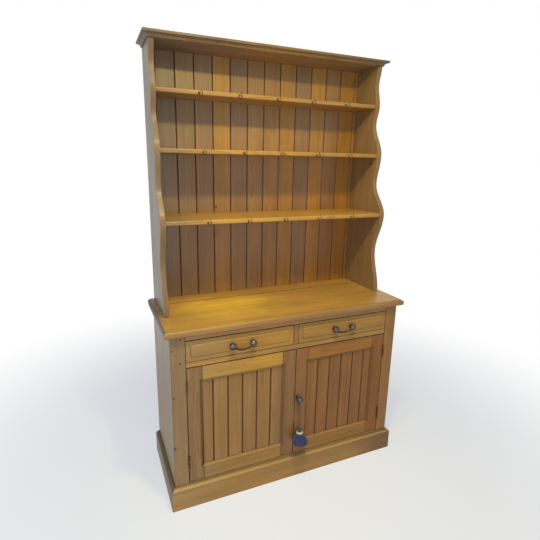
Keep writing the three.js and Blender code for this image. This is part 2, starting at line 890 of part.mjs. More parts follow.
function bail(name, handle) {
  const innerFace = postSpacing / 2 - postBallRadius;
  const pinStart = innerFace - bailPinLead;
  const pinEnd = innerFace + bailBoreDepth - seam;
  const places = [-pinEnd, -innerFace];
  for (let i = 0; i <= bailSteps; i += 1) {
    places.push(pinStart * ((2 * i) / bailSteps - 1));
  }
  places.push(innerFace, pinEnd);
  const path = places.map((x) => new THREE.Vector3(x, 0, -bailFall(Math.abs(x), pinStart)));
  const rings = path.map((point, i) => {
    const before = path[Math.max(i - 1, 0)];
    const after = path[Math.min(i + 1, path.length - 1)];
    const along = after.clone().sub(before).normalize();
    const level = Math.max(0, 1 - Math.abs(point.x) / pinStart);
    const radius = bailEndRadius + (bailMiddleRadius - bailEndRadius) * level;
    return ringAbout(point, along, radius);
  });
  const rod = skin(rings).translate(handle.x, drawerFace - postReach, handle.z);
  return named(`${name}_bail`, rod, metal());
}

// A round section across a path that lies in the XZ plane
function ringAbout(point, along, radius) {
  const sideways = new THREE.Vector3(0, 1, 0);
  const across = along.clone().cross(sideways);
  return Array.from({ length: tubeSides }, (_, s) => {
    const angle = (Math.PI * 2 * s) / tubeSides;
    return point
      .clone()
      .addScaledVector(across, radius * Math.cos(angle))
      .addScaledVector(sideways, radius * Math.sin(angle));
  });
}

function drawer(name, left, right, handleShift) {
  const panel = {
    left: left + drawerSideGap,
    right: right - drawerSideGap,
    bottom: drawerOpeningBottom + drawerBottomGap,
    top: drawerOpeningTop - drawerTopGap,
  };
  const handle = {
    x: (panel.left + panel.right) / 2 + handleShift,
    z: (panel.bottom + panel.top) / 2,
  };
  const group = new THREE.Group();
  group.add(drawerFront(name, panel, handle));
  group.add(drawerBox(name, panel));
  for (const place of postPlaces(handle)) {
    group.add(handlePost(name, place, handle.z));
  }
  group.add(bail(name, handle));
  return group;
}

// Doors

// A framed door: the face is bevelled down to the boards, with the bevels mitred in the corners
function door(name, left, right, boardShift, leftStile, rightStile, knobHole) {
  const face = doorSetback;
  const back = face + doorThickness;
  const member = doorStileFlat + doorBevelWidth;
  const opening = {
    left: left + doorStileFlat,
    right: right - doorStileFlat,
    bottom: doorBottom + doorBottomRailFlat,
    top: doorTop - doorTopRailFlat,
  };
  const slope = doorBevelWidth / doorBevelDepth;
  const bevel = skin([
    uprightRing(opening, -overrun * slope, face - overrun),
    uprightRing(opening, doorBevelWidth, face + doorBevelDepth),
  ]);
  const housed = doorBevelWidth - doorPanelHousing;
  const grooveFace = face + doorBevelDepth + doorBevelLand;
  const grooveBack = grooveFace + doorPanelThickness + doorPanelClearance;
  const groove = block(
    [opening.left + housed, opening.right - housed],
    [grooveFace, grooveBack],
    [opening.bottom + housed, opening.top - housed],
  );
  const depth = [face, back];
  const railXs = [left + member + seam, right - member - seam];
  const pieces = {
    [leftStile]: block([left, left + member], depth, [doorBottom, doorTop]),
    [rightStile]: block([right - member, right], depth, [doorBottom, doorTop]),
    top_rail: block(railXs, depth, [opening.top - doorBevelWidth, doorTop]),
    bottom_rail: block(railXs, depth, [doorBottom, opening.bottom + doorBevelWidth]),
  };
  const group = new THREE.Group();
  for (const [piece, board] of Object.entries(pieces)) {
    const cutters = piece === 'meeting_stile' && knobHole ? [bevel, groove, knobHole] : [bevel, groove];
    group.add(named(`${name}_${piece}`, cut(board, ...cutters), wood(PINE)));
  }
  const sight = [opening.left + doorBevelWidth, opening.right - doorBevelWidth];
  const pitch = (sight[1] - sight[0]) / (doorGrooveCount - 1 + doorEdgeBoardShare * 2);
  const firstGroove = sight[0] + pitch * doorEdgeBoardShare + boardShift;
  const grooves = Array.from({ length: doorGrooveCount }, (_, i) => firstGroove + pitch * i);
  const reach = housed + doorPanelClearance;
  const panel = alongZ(
    boardedOutline(
      opening.left + reach,
      opening.right - reach,
      grooveFace + doorPanelClearance / 2,
      doorPanelThickness,
      grooves,
    ),
    opening.bottom + reach,
    opening.top - reach,
  );
  group.add(named(`${name}_panel`, panel, wood(PINE_DARK)));
  return group;
}

// A butt hinge: the knuckle stands in front of the gap, and its leaf lies against the stile's edge
function hinge(name, hand, middle) {
  const knuckle = new THREE.CylinderGeometry(knuckleRadius, knuckleRadius, hingeLength, roundSides);
  knuckle.rotateX(Math.PI / 2).translate(hand * hingeX, hingeY, middle);
  const leafFace = stileInner - seam;
  const leaf = block(
    [hand * leafFace, hand * (leafFace - leafThickness)],
    [hingeY, hingeY + leafDepth],
    [middle - hingeLength / 2, middle + hingeLength / 2],
  );
  return named(name, joined(knuckle, leaf), metal());
}

function hinges() {
  const group = new THREE.Group();
  for (const [side, hand] of [['left', -1], ['right', 1]]) {
    group.add(hinge(`hinge_${side}_top`, hand, doorTop - hingeFromDoorTop));
    group.add(hinge(`hinge_${side}_bottom`, hand, doorBottom + hingeFromDoorBottom));
  }
  return group;
}

// The knob, its rose, spindle and tongue are one turning piece; at rest the tongue points up
function latchKnob() {
  const face = doorSetback - seam;
  const tongueFace = doorSetback + doorThickness + latchTongueGap;
  const tongueBack = tongueFace + latchTongueThickness;
  const profile = [
    [0, tongueBack],
    [tongueHubRadius, tongueBack],
    [tongueHubRadius, tongueFace],
    [spindleRadius, tongueFace],
    [spindleRadius, face],
    [roseRadius, face],
    [roseRadius, face - roseThickness / 2],
    [roseRadius - roseThickness / 2, face - roseThickness],
    [knobNeckRadius, face - roseThickness],
    ...ballProfile(knobBallRadius, doorSetback - knobReach, knobNeckRadius, 1),
  ];
  const tongue = block(
    [-tongueWidth / 2, tongueWidth / 2],
    [tongueFace, tongueBack],
    [0, tongueReach],
  );
  const knob = joined(turned(profile), tongue).translate(knobX, 0, knobHeight);
  return named('latch_knob', knob, metal());
}

// Tassel

function tasselLevels() {
  const headTop = -tasselCordLength;
  const ringTop = headTop - tasselHeadHeight;
  const skirtTop = ringTop - tasselRingHeight;
  const rim = skirtTop - tasselSkirtHeight;
  return { headTop, ringTop, skirtTop, rim, hem: rim - tasselHemHeight };
}

// The tassel leans out until the rim of its skirt rests against the door
function tasselLean() {
  const drop = -tasselLevels().rim;
  const gap = neckMiddle - doorSetback + tasselDoorGap;
  const reach = Math.hypot(drop, tasselSkirtRadius);
  return Math.atan2(tasselSkirtRadius, drop) + Math.asin(gap / reach);
}

// A loop over the knob's neck, drawn together below it, and the single cord down to the head
function tasselCord() {
  const top = knobNeckRadius + tasselCordRadius + tasselLoopClearance;
  const close = tasselCordRadius + seam;
  const path = [];
  for (let i = 0; i <= arcSteps * 2; i += 1) {
    const angle = (Math.PI * i) / (arcSteps * 2);
    path.push(new THREE.Vector3(top * Math.cos(angle), 0, top * Math.sin(angle)));
  }
  for (let i = 1; i < arcSteps; i += 1) {
    const way = i / arcSteps;
    path.push(new THREE.Vector3(-top + (top - close) * way, 0, -tasselLoopLength * way));
  }
  for (let i = 0; i <= arcSteps; i += 1) {
    const angle = Math.PI + (Math.PI * i) / arcSteps;
    path.push(new THREE.Vector3(close * Math.cos(angle), 0, close * Math.sin(angle) - tasselLoopLength));
  }
  for (let i = arcSteps - 1; i > 0; i -= 1) {
    const way = i / arcSteps;
    path.push(new THREE.Vector3(top - (top - close) * way, 0, -tasselLoopLength * way));
  }
  const rings = path.map((point, i) => {
    const before = path[(i + path.length - 1) % path.length];
    const after = path[(i + 1) % path.length];
    return ringAbout(point, after.clone().sub(before).normalize(), tasselCordRadius);
  });
  const from = -tasselLoopLength - close;
  const to = tasselLevels().headTop + seam;
  const strand = new THREE.CylinderGeometry(tasselCordRadius, tasselCordRadius, from - to, tubeSides);
  strand.rotateX(Math.PI / 2).translate(0, 0, (from + to) / 2);
  return named('tassel_cord', joined(skin(rings, true), strand), yarn(CORD_GREY));
}

// Head, ring and flared skirt, turned about the cord
function tasselBody() {
  const { headTop, ringTop, skirtTop, rim, hem } = tasselLevels();
  const profile = [[0, hem], [tasselSkirtRadius * tasselHemShare, hem], [tasselSkirtRadius, rim]];
  for (let i = 1; i <= arcSteps; i += 1) {
    const way = i / arcSteps;
    const flare = tasselSkirtRadius - tasselShoulderRadius;
    profile.push([tasselSkirtRadius - flare * way ** tasselFlareShare, rim + tasselSkirtHeight * way]);
  }
  profile.push([tasselRingRadius, skirtTop]);
  const bulge = tasselRingHeight / 2;
  for (let i = 1; i < arcSteps; i += 1) {
    const angle = (Math.PI * i) / arcSteps;
    profile.push([
      tasselRingRadius - bulge * (1 - Math.sin(angle)),
      skirtTop + bulge * (1 - Math.cos(angle)),
    ]);
  }
  const neck = tasselHeadRadius * tasselNeckShare;
  profile.push([neck, ringTop]);
  for (let i = 1; i < arcSteps; i += 1) {
    const angle = (Math.PI * i) / arcSteps;
    const radius = Math.max(tasselHeadRadius * Math.sin(angle), i < arcSteps / 2 ? neck : 0);
    profile.push([radius, ringTop + (tasselHeadHeight * (1 - Math.cos(angle))) / 2]);
  }
  profile.push([0, headTop]);
  return named('tassel', turned(profile).rotateX(Math.PI / 2), yarn(NAVY));
}

function tassel() {
  const group = new THREE.Group();
  group.add(tasselCord());
  group.add(tasselBody());
  group.position.set(knobX, neckMiddle, knobHeight);
  group.rotation.x = -tasselLean();
  return group;
}

const knobHole = rodAlongY(
  spindleRadius + spindleClearance,
  knobX,
  knobHeight,
  doorSetback - overrun,
  doorSetback + doorThickness + overrun,
);
const leftMeeting = meetingShift - meetingGap / 2;
const rightMeeting = meetingShift + meetingGap / 2;

const dresser = new THREE.Group();
dresser.add(base());
dresser.add(rack());
dresser.add(drawer('drawer_left', -stileInner, muntinLeft, leftHandleShift));
dresser.add(drawer('drawer_right', muntinRight, stileInner, rightHandleShift));
dresser.add(door('door_left', -doorOuter, leftMeeting, leftBoardShift, 'hinge_stile', 'meeting_stile'));
dresser.add(
  door('door_right', rightMeeting, doorOuter, rightBoardShift, 'meeting_stile', 'hinge_stile', knobHole),
);
dresser.add(hinges());
dresser.add(latchKnob());
dresser.add(tassel());

// The origin lies under the middle of everything but the tassel, from the back to the furthest handle
const frontReach = Math.max(
  knobReach + knobBallRadius - doorSetback,
  postReach + postBallRadius - drawerFace,
  worktopFrontOverhang,
  plinthThickness,
);
dresser.position.y = (frontReach - caseDepth) / 2;

export default dresser;
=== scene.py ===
# %% [markdown]
# # A Welsh dresser in waxed pine
# The dresser stands in two parts: a base with two drawers and two boarded doors, and an open plate rack on
# top of it. Its measured solids are loaded first as a fixed frame. The lesson then dresses them, piece by
# piece: every board gets softened edges and its own grain, and the small metal and yarn pieces are modelled
# in full.

# %% Load the measured dresser
import json
import math
import random

import bmesh
import bpy
from mathutils import Matrix, Vector


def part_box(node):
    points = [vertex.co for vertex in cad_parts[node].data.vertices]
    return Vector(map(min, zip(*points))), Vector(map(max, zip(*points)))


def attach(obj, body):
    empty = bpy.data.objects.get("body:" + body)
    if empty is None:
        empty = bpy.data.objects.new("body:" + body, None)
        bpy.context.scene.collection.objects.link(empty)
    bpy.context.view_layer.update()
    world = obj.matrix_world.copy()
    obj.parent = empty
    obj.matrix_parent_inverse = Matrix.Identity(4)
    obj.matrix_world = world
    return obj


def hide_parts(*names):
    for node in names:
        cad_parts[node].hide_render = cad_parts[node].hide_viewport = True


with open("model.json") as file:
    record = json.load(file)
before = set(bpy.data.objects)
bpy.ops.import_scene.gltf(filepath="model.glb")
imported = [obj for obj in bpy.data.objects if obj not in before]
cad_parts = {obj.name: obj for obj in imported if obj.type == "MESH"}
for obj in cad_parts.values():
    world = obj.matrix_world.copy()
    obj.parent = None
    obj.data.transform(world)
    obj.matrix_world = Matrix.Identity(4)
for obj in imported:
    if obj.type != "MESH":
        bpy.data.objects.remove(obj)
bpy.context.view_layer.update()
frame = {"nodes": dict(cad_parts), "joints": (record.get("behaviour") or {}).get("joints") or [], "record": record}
scene = bpy.context.scene
MM = 0.001
nodes = frame["nodes"]
bodies = frame["record"]["behaviour"]["bodies"]
body_of = {node: body for body, members in bodies.items() for node in members}
slot_of = {part["node"]: part["material_slot"] for part in frame["record"]["subparts"]}
joints = {joint["name"]: joint for joint in frame["joints"]}

# %% [markdown]
# ## The camera
# A photograph of furniture is taken from eye height, with the camera dipped a little. The place, the turn and
# the focal length are real values here, so the picture can be laid over the photograph. A small shift stands
# for the way that the photograph was trimmed.

# %% Camera
IMAGE_SIDE = 540
FOCAL_PIXELS = 404.1
CENTRE_PIXEL = (259.3, 263.2)
CAMERA_PLACE = Vector((-0.8428, -1.7589, 1.5347))
CAMERA_TURN = math.radians(22.78)
CAMERA_DIP = math.radians(13.66)
CAMERA_ROLL = math.radians(0.80)
QUARTER = math.radians(90)

camera_data = bpy.data.cameras.new("camera")
camera_data.lens = FOCAL_PIXELS / IMAGE_SIDE * camera_data.sensor_width
camera_data.shift_x = 0.5 - CENTRE_PIXEL[0] / IMAGE_SIDE
camera_data.shift_y = CENTRE_PIXEL[1] / IMAGE_SIDE - 0.5
camera = bpy.data.objects.new("camera", camera_data)
scene.collection.objects.link(camera)
camera.matrix_world = (
    Matrix.Translation(CAMERA_PLACE)
    @ Matrix.Rotation(-CAMERA_TURN, 4, "Z")
    @ Matrix.Rotation(QUARTER - CAMERA_DIP, 4, "X")
    @ Matrix.Rotation(CAMERA_ROLL, 4, "Z")
)
scene.camera = camera
print("lens", round(camera_data.lens, 2), "mm")

# %% [markdown]
# ## Node trees
# Every finish below is a tree of shader nodes. A few small helpers keep the trees readable: the first adds a
# node, sets its values and wires what comes from other nodes, and the others add the kinds that come up most.

# %% Helpers for node trees
def add_node(tree, kind, inputs=None, **settings):
    node = tree.nodes.new(kind)
    for key, value in settings.items():
        setattr(node, key, value)
    for key, value in (inputs or {}).items():
        if isinstance(value, bpy.types.NodeSocket):
            tree.links.new(value, node.inputs[key])
        else:
            node.inputs[key].default_value = value
    return node


def math_node(tree, operation, *values):
    return add_node(tree, "ShaderNodeMath", dict(enumerate(values)), operation=operation).outputs[0]


def times(tree, first, second):
    return math_node(tree, "MULTIPLY", first, second)


def plus(tree, first, second):
    return math_node(tree, "ADD", first, second)


def vector_node(tree, operation, *values, output=0):
    node = add_node(tree, "ShaderNodeVectorMath", dict(enumerate(values)), operation=operation)
    return node.outputs[output]


def point_node(tree, x=0.0, y=0.0, z=0.0):
    return add_node(tree, "ShaderNodeCombineXYZ", {"X": x, "Y": y, "Z": z}).outputs[0]


def noise_node(tree, place, scale, detail=2.0, output=0):
    inputs = {"Vector": place, "Scale": scale, "Detail": detail, "Roughness": 0.5}
    return add_node(tree, "ShaderNodeTexNoise", inputs).outputs[output]


def spread(tree, value, low, high, to_low=0.0, to_high=1.0):
    inputs = {"Value": value, "From Min": low, "From Max": high, "To Min": to_low, "To Max": to_high}
    return add_node(tree, "ShaderNodeMapRange", inputs, interpolation_type="SMOOTHSTEP").outputs[0]


def mixed(tree, share, first, second, blend="MIX"):
    inputs = {0: share, 6: first, 7: second}
    return add_node(tree, "ShaderNodeMix", inputs, data_type="RGBA", blend_type=blend).outputs[2]


def object_place(tree):
    return add_node(tree, "ShaderNodeTexCoord").outputs["Object"]


print("node helpers ready")

# %% [markdown]
# ## Materials and shared groups
# A material starts from the Principled shader. An effect that several materials use, such as the figure of
# the wood or the fuzz of a yarn, is a node group that is built once and placed in each of them.

# %% Helpers for materials and groups
def new_group(name, inputs, outputs):
    """A shader group. inputs are pairs of a name and a kind, and every output is a mask."""
    tree = bpy.data.node_groups.new(name, "ShaderNodeTree")
    for label, kind in inputs:
        tree.interface.new_socket(label, in_out="INPUT", socket_type=f"NodeSocket{kind}")
    for label in outputs:
        tree.interface.new_socket(label, in_out="OUTPUT", socket_type="NodeSocketFloat")
    return tree, tree.nodes.new("NodeGroupInput").outputs, tree.nodes.new("NodeGroupOutput").inputs


def give(tree, result, **masks):
    """Wires masks to a group's outputs. A name's underscore stands for a space."""
    for label, value in masks.items():
        tree.links.new(value, result[label.replace("_", " ")])
    return tree


def placed(tree, group, inputs):
    return add_node(tree, "ShaderNodeGroup", inputs, node_tree=group).outputs


def colour(red, green, blue):
    """A colour as it is seen on screen, turned to the linear values that nodes work in."""
    def linear(level):
        share = level / 255
        return share / 12.92 if level <= 10 else ((share + 0.055) / 1.055) ** 2.4

    return (linear(red), linear(green), linear(blue), 1.0)


def new_material(name):
    material = bpy.data.materials.new(name)
    material.use_nodes = True
    tree = material.node_tree
    return material, tree, tree.nodes["Principled BSDF"]


def set_surface(tree, surface, **values):
    """Wires or sets the shader's sockets. A name's underscore stands for a space."""
    for label, value in values.items():
        socket = surface.inputs[label.replace("_", " ")]
        if isinstance(value, bpy.types.NodeSocket):
            tree.links.new(value, socket)
        else:
            socket.default_value = value


def bumped(tree, height, strength, depth):
    inputs = {"Height": height, "Strength": strength, "Distance": depth}
    return add_node(tree, "ShaderNodeBump", inputs).outputs[0]


print("white on screen is", colour(255, 255, 255))

# %% [markdown]
# ## The figure of pine
# Sawn pine shows its growth rings: pale early wood and a thin dark band of late wood for each year. A board
# cut off the middle of the log shows them as long arches, because the board crosses rings that bend. So the
# rings here are real rings about the heart of the log, warped by slow noise along the grain, and the board
# cuts through them wherever it lies. Now and then a knot pushes the rings aside. The group puts out masks
# only, and each finish decides what colours they become. A pair of numbers below is where a mask starts and
# where it is full, and a noise has how far it is drawn out along the grain, its scale and its detail.

# %% Node group for the growth rings
RING_WIDTH = 4.2 * MM
RING_SWAY = (0.05, 0.05, 0.0)
LATE_GROWTH = 3.0
KNOT_CELLS = 6.5
KNOT_CHANCE = (0.62, 0.66)
KNOT_EDGE = (0.085, 0.05)
KNOT_HALO = (0.3, 0.0)
KNOT_PUSH = 0.012
SWAY_NOISE = (0.16, 7.0, 2.0)
BAND_NOISE = (0.045, 38.0, 2.0)
FIBRE_NOISE = (0.02, 900.0, 1.0)
CLOUD_NOISE = (0.45, 5.0, 3.0)
LOG_START = 0.37
LOG_STEP = (3.71, 1.0, 1.93)


def pine_figure_group():
    tree, given, result = new_group(
        "pine_figure",
        [("Place", "Vector"), ("Board", "Float")],
        ("Late wood", "Knot", "Band", "Fibre", "Cloud"),
    )
    step = point_node(tree, given["Board"], LOG_START, given["Board"])
    own = vector_node(tree, "ADD", given["Place"], vector_node(tree, "MULTIPLY", step, LOG_STEP))

    def drawn_out(share, scale, detail, output=0):
        """Noise that is stretched along the grain, which runs along Z."""
        return noise_node(tree, vector_node(tree, "MULTIPLY", own, (1.0, 1.0, share)), scale, detail, output)

    sway = vector_node(tree, "SUBTRACT", drawn_out(*SWAY_NOISE, output=1), (0.5, 0.5, 0.5))
    bent = vector_node(tree, "ADD", given["Place"], vector_node(tree, "MULTIPLY", sway, RING_SWAY))
    spots = add_node(tree, "ShaderNodeTexVoronoi", {"Vector": own, "Scale": KNOT_CELLS}).outputs
    lot = add_node(tree, "ShaderNodeSeparateColor", {0: spots["Color"]}).outputs[0]
    chosen = spread(tree, lot, *KNOT_CHANCE)
    knot = times(tree, spread(tree, spots["Distance"], *KNOT_EDGE), chosen)
    halo = times(tree, spread(tree, spots["Distance"], *KNOT_HALO), chosen)
    radius = vector_node(tree, "LENGTH", vector_node(tree, "MULTIPLY", bent, (1.0, 1.0, 0.0)), output="Value")
    radius = plus(tree, radius, times(tree, halo, KNOT_PUSH))
    year = math_node(tree, "FRACT", math_node(tree, "DIVIDE", radius, RING_WIDTH))
    return give(
        tree, result, Late_wood=math_node(tree, "POWER", year, LATE_GROWTH), Knot=knot,
        Band=drawn_out(*BAND_NOISE), Fibre=drawn_out(*FIBRE_NOISE), Cloud=drawn_out(*CLOUD_NOISE),
    )


PINE_FIGURE = pine_figure_group()
print("the figure of pine takes", len(PINE_FIGURE.nodes), "nodes")

# %% [markdown]
# ## Dust, painted shade and painted light that several boards share
# Slanted faces, such as the vees between boards and the bevels of a drawer or a door frame, go dark brown:
# dirt and painted shade gather in the vees, and the bevels get painted shade. The slanted faces that look
# upwards get a painted highlight instead. A broad soft spot of changed colour, which on this dresser is mostly
# painted light or shade, has a middle and three half sizes, and noise makes its rim ragged. Both effects are
# groups that put out masks.

# %% Node groups for slopes and soft spots
SLANT = (0.86, 0.68)
UPWARD_RISE = (0.15, 0.45)
SPOT_NOISE = 9.0
SPOT_RAGGED = 0.7
SPOT_RIM = (1.45, 0.45)


def slope_shading_group():
    tree, given, result = new_group(
        "slope_shade_dirt_and_highlight", [("Facing", "Vector"), ("Arris", "Float")], ("Sheltered", "Upward")
    )
    squared = vector_node(tree, "MULTIPLY", given["Facing"], given["Facing"])
    fourth = vector_node(tree, "MULTIPLY", squared, squared)
    flatness = vector_node(tree, "DOT_PRODUCT", fourth, (1.0, 1.0, 1.0), output="Value")
    not_arris = math_node(tree, "SUBTRACT", 1.0, given["Arris"])
    slanted = times(tree, spread(tree, flatness, *SLANT), not_arris)
    rise = add_node(tree, "ShaderNodeSeparateXYZ", {0: given["Facing"]}).outputs["Z"]
    upward = times(tree, slanted, spread(tree, rise, *UPWARD_RISE))
    return give(tree, result, Sheltered=math_node(tree, "SUBTRACT", slanted, upward), Upward=upward)


def soft_spot_group():
    tree, given, result = new_group(
        "soft_spot", [("Place", "Vector"), ("Middle", "Vector"), ("Half sizes", "Vector")], ("Inside",)
    )
    offset = vector_node(tree, "SUBTRACT", given["Place"], given["Middle"])
    offset = vector_node(tree, "DIVIDE", offset, given["Half sizes"])
    ragged = times(tree, noise_node(tree, given["Place"], SPOT_NOISE, 3.0), SPOT_RAGGED)
    away = plus(tree, vector_node(tree, "LENGTH", offset, output="Value"), ragged)
    return give(tree, result, Inside=spread(tree, away, *SPOT_RIM))


SLOPE_SHADING = slope_shading_group()
SOFT_SPOT = soft_spot_group()
print("shared wear:", SLOPE_SHADING.name, "and", SOFT_SPOT.name)

# %% [markdown]
# ## Waxed pine
# Old waxed pine runs from a grey brown to a clear honey yellow, board by board, and some boards have gone
# russet. Each board of the model carries its own values on its faces: a number that moves it to its own
# place in the log, a tone, a share of russet, a shade, the place of its heart, and marks on the faces that
# rounding its edges made. On some faces the shade is painted shade or painted light. One function makes every
# pine material, and they all read those values. The edges that hands and plates touch are rubbed paler, and
# on boards with dark edges the ones that look upwards get a painted highlight instead. The other rounded edges
# of those boards go dark brown: painted shadow along a gap, and dirt with painted shade in the vees between
# boards.
# A row of four numbers is a mask's low and high limit, and the value that each of them becomes. A bump is a
# strength and a depth.

# %% The colours and strengths of waxed pine
HONEY = colour(205, 154, 60)
UMBER = colour(133, 120, 105)
RUSSET = colour(158, 92, 36)
LATE_SHADE = (0.66, 0.50, 0.36, 1.0)
KNOT_BROWN = colour(96, 60, 32)
# Dark brown for dirt and painted shade in vees, and for painted shadow and shade on gap edges and bevels.
SHADE_AND_DIRT_BROWN = colour(80, 46, 26)
# Pale for rubbed edges, and for painted highlights on edges and slopes that look upwards.
PALE_WEAR_AND_HIGHLIGHT = colour(214, 176, 112)
# The yellow of a painted pool of lamplight on the worktop.
LAMPLIGHT_YELLOW = colour(244, 198, 74)
LATE_SHARE = 0.55
KNOT_SHARE = 0.7
ARRIS_SHARE = 0.2
SHADE_AND_DIRT_SHARE = 0.8
BAND_SHADES = (0.30, 0.72, 0.90, 1.07)
CLOUD_SHADES = (0.28, 0.75, 0.88, 1.10)
FIBRE_SHADES = (0.30, 0.70, 0.93, 1.06)
WAX_ROUGHNESS = (0.3, 0.7, 0.34, 0.46)
LATE_POLISH = -0.05
LATE_RELIEF = 0.6
GRAIN_BUMP = (0.25, 0.12 * MM)
WAX_GLOSS = 0.4
WAX_COAT = 0.25
WAX_COAT_ROUGHNESS = 0.28


def attribute(tree, name, output="Fac"):
    node = add_node(tree, "ShaderNodeAttribute", attribute_name=name, attribute_type="GEOMETRY")
    return node.outputs[output]


def waxed_pine(name, turn, slope_shade_and_dirt=0.0, spots=(), polish=1.0, upward_highlight=0.0):
    """Pine whose grain runs along Z once its coordinates have been turned by the given angles. Each of spots
    is the middle, the half sizes, the colour and the strength of a soft spot. polish is how much the wax
    shines, slope_shade_and_dirt how dark brown slanted faces go, as dirt with painted shade in the vees and
    painted shade on the bevels, and upward_highlight how strong the painted highlight is on slanted faces that
    look upwards."""
    material, tree, surface = new_material(name)
    place = object_place(tree)
    arris = attribute(tree, "arris")
    local = vector_node(tree, "SUBTRACT", place, attribute(tree, "heart", "Vector"))
    local = add_node(tree, "ShaderNodeMapping", {"Vector": local, "Rotation": turn}).outputs[0]
    figure = {"Place": local, "Board": attribute(tree, "board")}
    late, knot, band, fibre, cloud = placed(tree, PINE_FIGURE, figure)

    base = mixed(tree, attribute(tree, "tone"), UMBER, HONEY)
    # Soft spots, most of them painted light or shade.
    for middle, half_sizes, tint, strength in spots:
        inside = placed(tree, SOFT_SPOT, {"Place": place, "Middle": middle, "Half sizes": half_sizes})[0]
        base = mixed(tree, times(tree, inside, strength), base, tint)
    base = mixed(tree, attribute(tree, "russet"), base, RUSSET)
    base = mixed(tree, times(tree, late, LATE_SHARE), base, LATE_SHADE, "MULTIPLY")
    shade = times(tree, spread(tree, band, *BAND_SHADES), spread(tree, cloud, *CLOUD_SHADES))
    shade = times(tree, shade, spread(tree, fibre, *FIBRE_SHADES))
    # The board's shade, which on some faces is painted shade or painted light.
    shade = times(tree, shade, attribute(tree, "shade"))
    base = mixed(tree, 1.0, base, point_node(tree, shade, shade, shade), "MULTIPLY")
    base = mixed(tree, times(tree, knot, KNOT_SHARE), base, KNOT_BROWN)
    # Rounded edges go paler: rubbed wear, and a painted highlight where they look upwards on dark-edged boards.
    base = mixed(tree, times(tree, arris, ARRIS_SHARE), base, PALE_WEAR_AND_HIGHLIGHT)
    # Dark brown: painted shadow along gaps, dirt with painted shade in vees.
    base = mixed(tree, times(tree, attribute(tree, "shade_and_dirt"), SHADE_AND_DIRT_SHARE), base, SHADE_AND_DIRT_BROWN)
    if slope_shade_and_dirt or upward_highlight:
        facing = add_node(tree, "ShaderNodeTexCoord").outputs["Normal"]
        # Slanted faces: dirt and painted shade in vees, painted shade on bevels, a painted highlight where they
        # look up.
        shaded_slopes, upward = placed(tree, SLOPE_SHADING, {"Facing": facing, "Arris": arris})
        base = mixed(tree, times(tree, shaded_slopes, slope_shade_and_dirt), base, SHADE_AND_DIRT_BROWN)
        base = mixed(tree, times(tree, upward, upward_highlight), base, PALE_WEAR_AND_HIGHLIGHT)
    rough = plus(tree, spread(tree, cloud, *WAX_ROUGHNESS), times(tree, late, LATE_POLISH))
    relief = plus(tree, times(tree, late, LATE_RELIEF), fibre)
    set_surface(
        tree, surface, Base_Color=base, Roughness=rough, Specular_IOR_Level=WAX_GLOSS * polish,
        Coat_Weight=WAX_COAT * polish, Coat_Roughness=WAX_COAT_ROUGHNESS,
        Normal=bumped(tree, relief, *GRAIN_BUMP),
    )
    return material


print("tones run from", [round(c, 3) for c in UMBER[:3]], "to", [round(c, 3) for c in HONEY[:3]])

# %% [markdown]
# ## The kinds of pine on this dresser
# A material is made for each direction of the grain and for each place that is duller or has soft spots of its
# own. Most soft spots are painted light or shade: a painted cast of window light on the left of the base front,
# painted shade at the right end of the plinth, a painted patch of light in the middle of the top board, painted
# shadow on the left ends of the shelves, and on the worktop a painted pool of lamplight and painted shadow at
# its left end. The matchboards are redder towards the lower right.

# %% Pine materials
ALONG_Z = (0.0, 0.0, 0.0)
ALONG_X = (0.0, -QUARTER, 0.0)
ALONG_Y = (QUARTER, 0.0, 0.0)
REDDENED = ((0.45, 0.23, 1.05), (1.3, 1.0, 0.95), RUSSET, 0.42)
# Painted light: a pale cast of window light on the left of the base front.
PAINTED_WINDOW_LIGHT = ((-0.6, -0.2, 0.6), (0.36, 1.0, 1.0), colour(178, 156, 124), 0.5)
# Painted shade at the right end of the plinth.
PAINTED_SHADE_RIGHT_END = ((0.6, -0.2, 0.08), (0.30, 1.0, 1.0), colour(92, 74, 58), 0.7)
# A painted patch of light in the middle of the top board.
PAINTED_LIGHT_MIDDLE = ((0.12, -0.03, 2.03), (0.6, 1.0, 1.0), HONEY, 0.4)
# Painted shadow of the rack sides on the left ends of the shelves.
PAINTED_SHADOW_SHELF_ENDS = ((-0.6, 0.0, 1.5), (0.30, 1.0, 3.0), colour(130, 104, 78), 0.7)
# A painted pool of lamplight on the worktop.
PAINTED_LAMPLIGHT = ((-0.26, 0.02, 0.872), (0.32, 0.20, 1.0), LAMPLIGHT_YELLOW, 1.0)
# Painted shadow of the rack side on the left end of the worktop.
PAINTED_SHADOW_WORKTOP_END = ((-0.612, 0.12, 0.872), (0.052, 0.34, 1.0), colour(104, 78, 58), 1.0)

PINE_UPRIGHT = waxed_pine("pine_grain_upright", ALONG_Z, polish=0.6)
PINE_LEVEL = waxed_pine("pine_grain_level", ALONG_X)
PINE_DEEP = waxed_pine("pine_grain_front_to_back", ALONG_Y, polish=0.5)
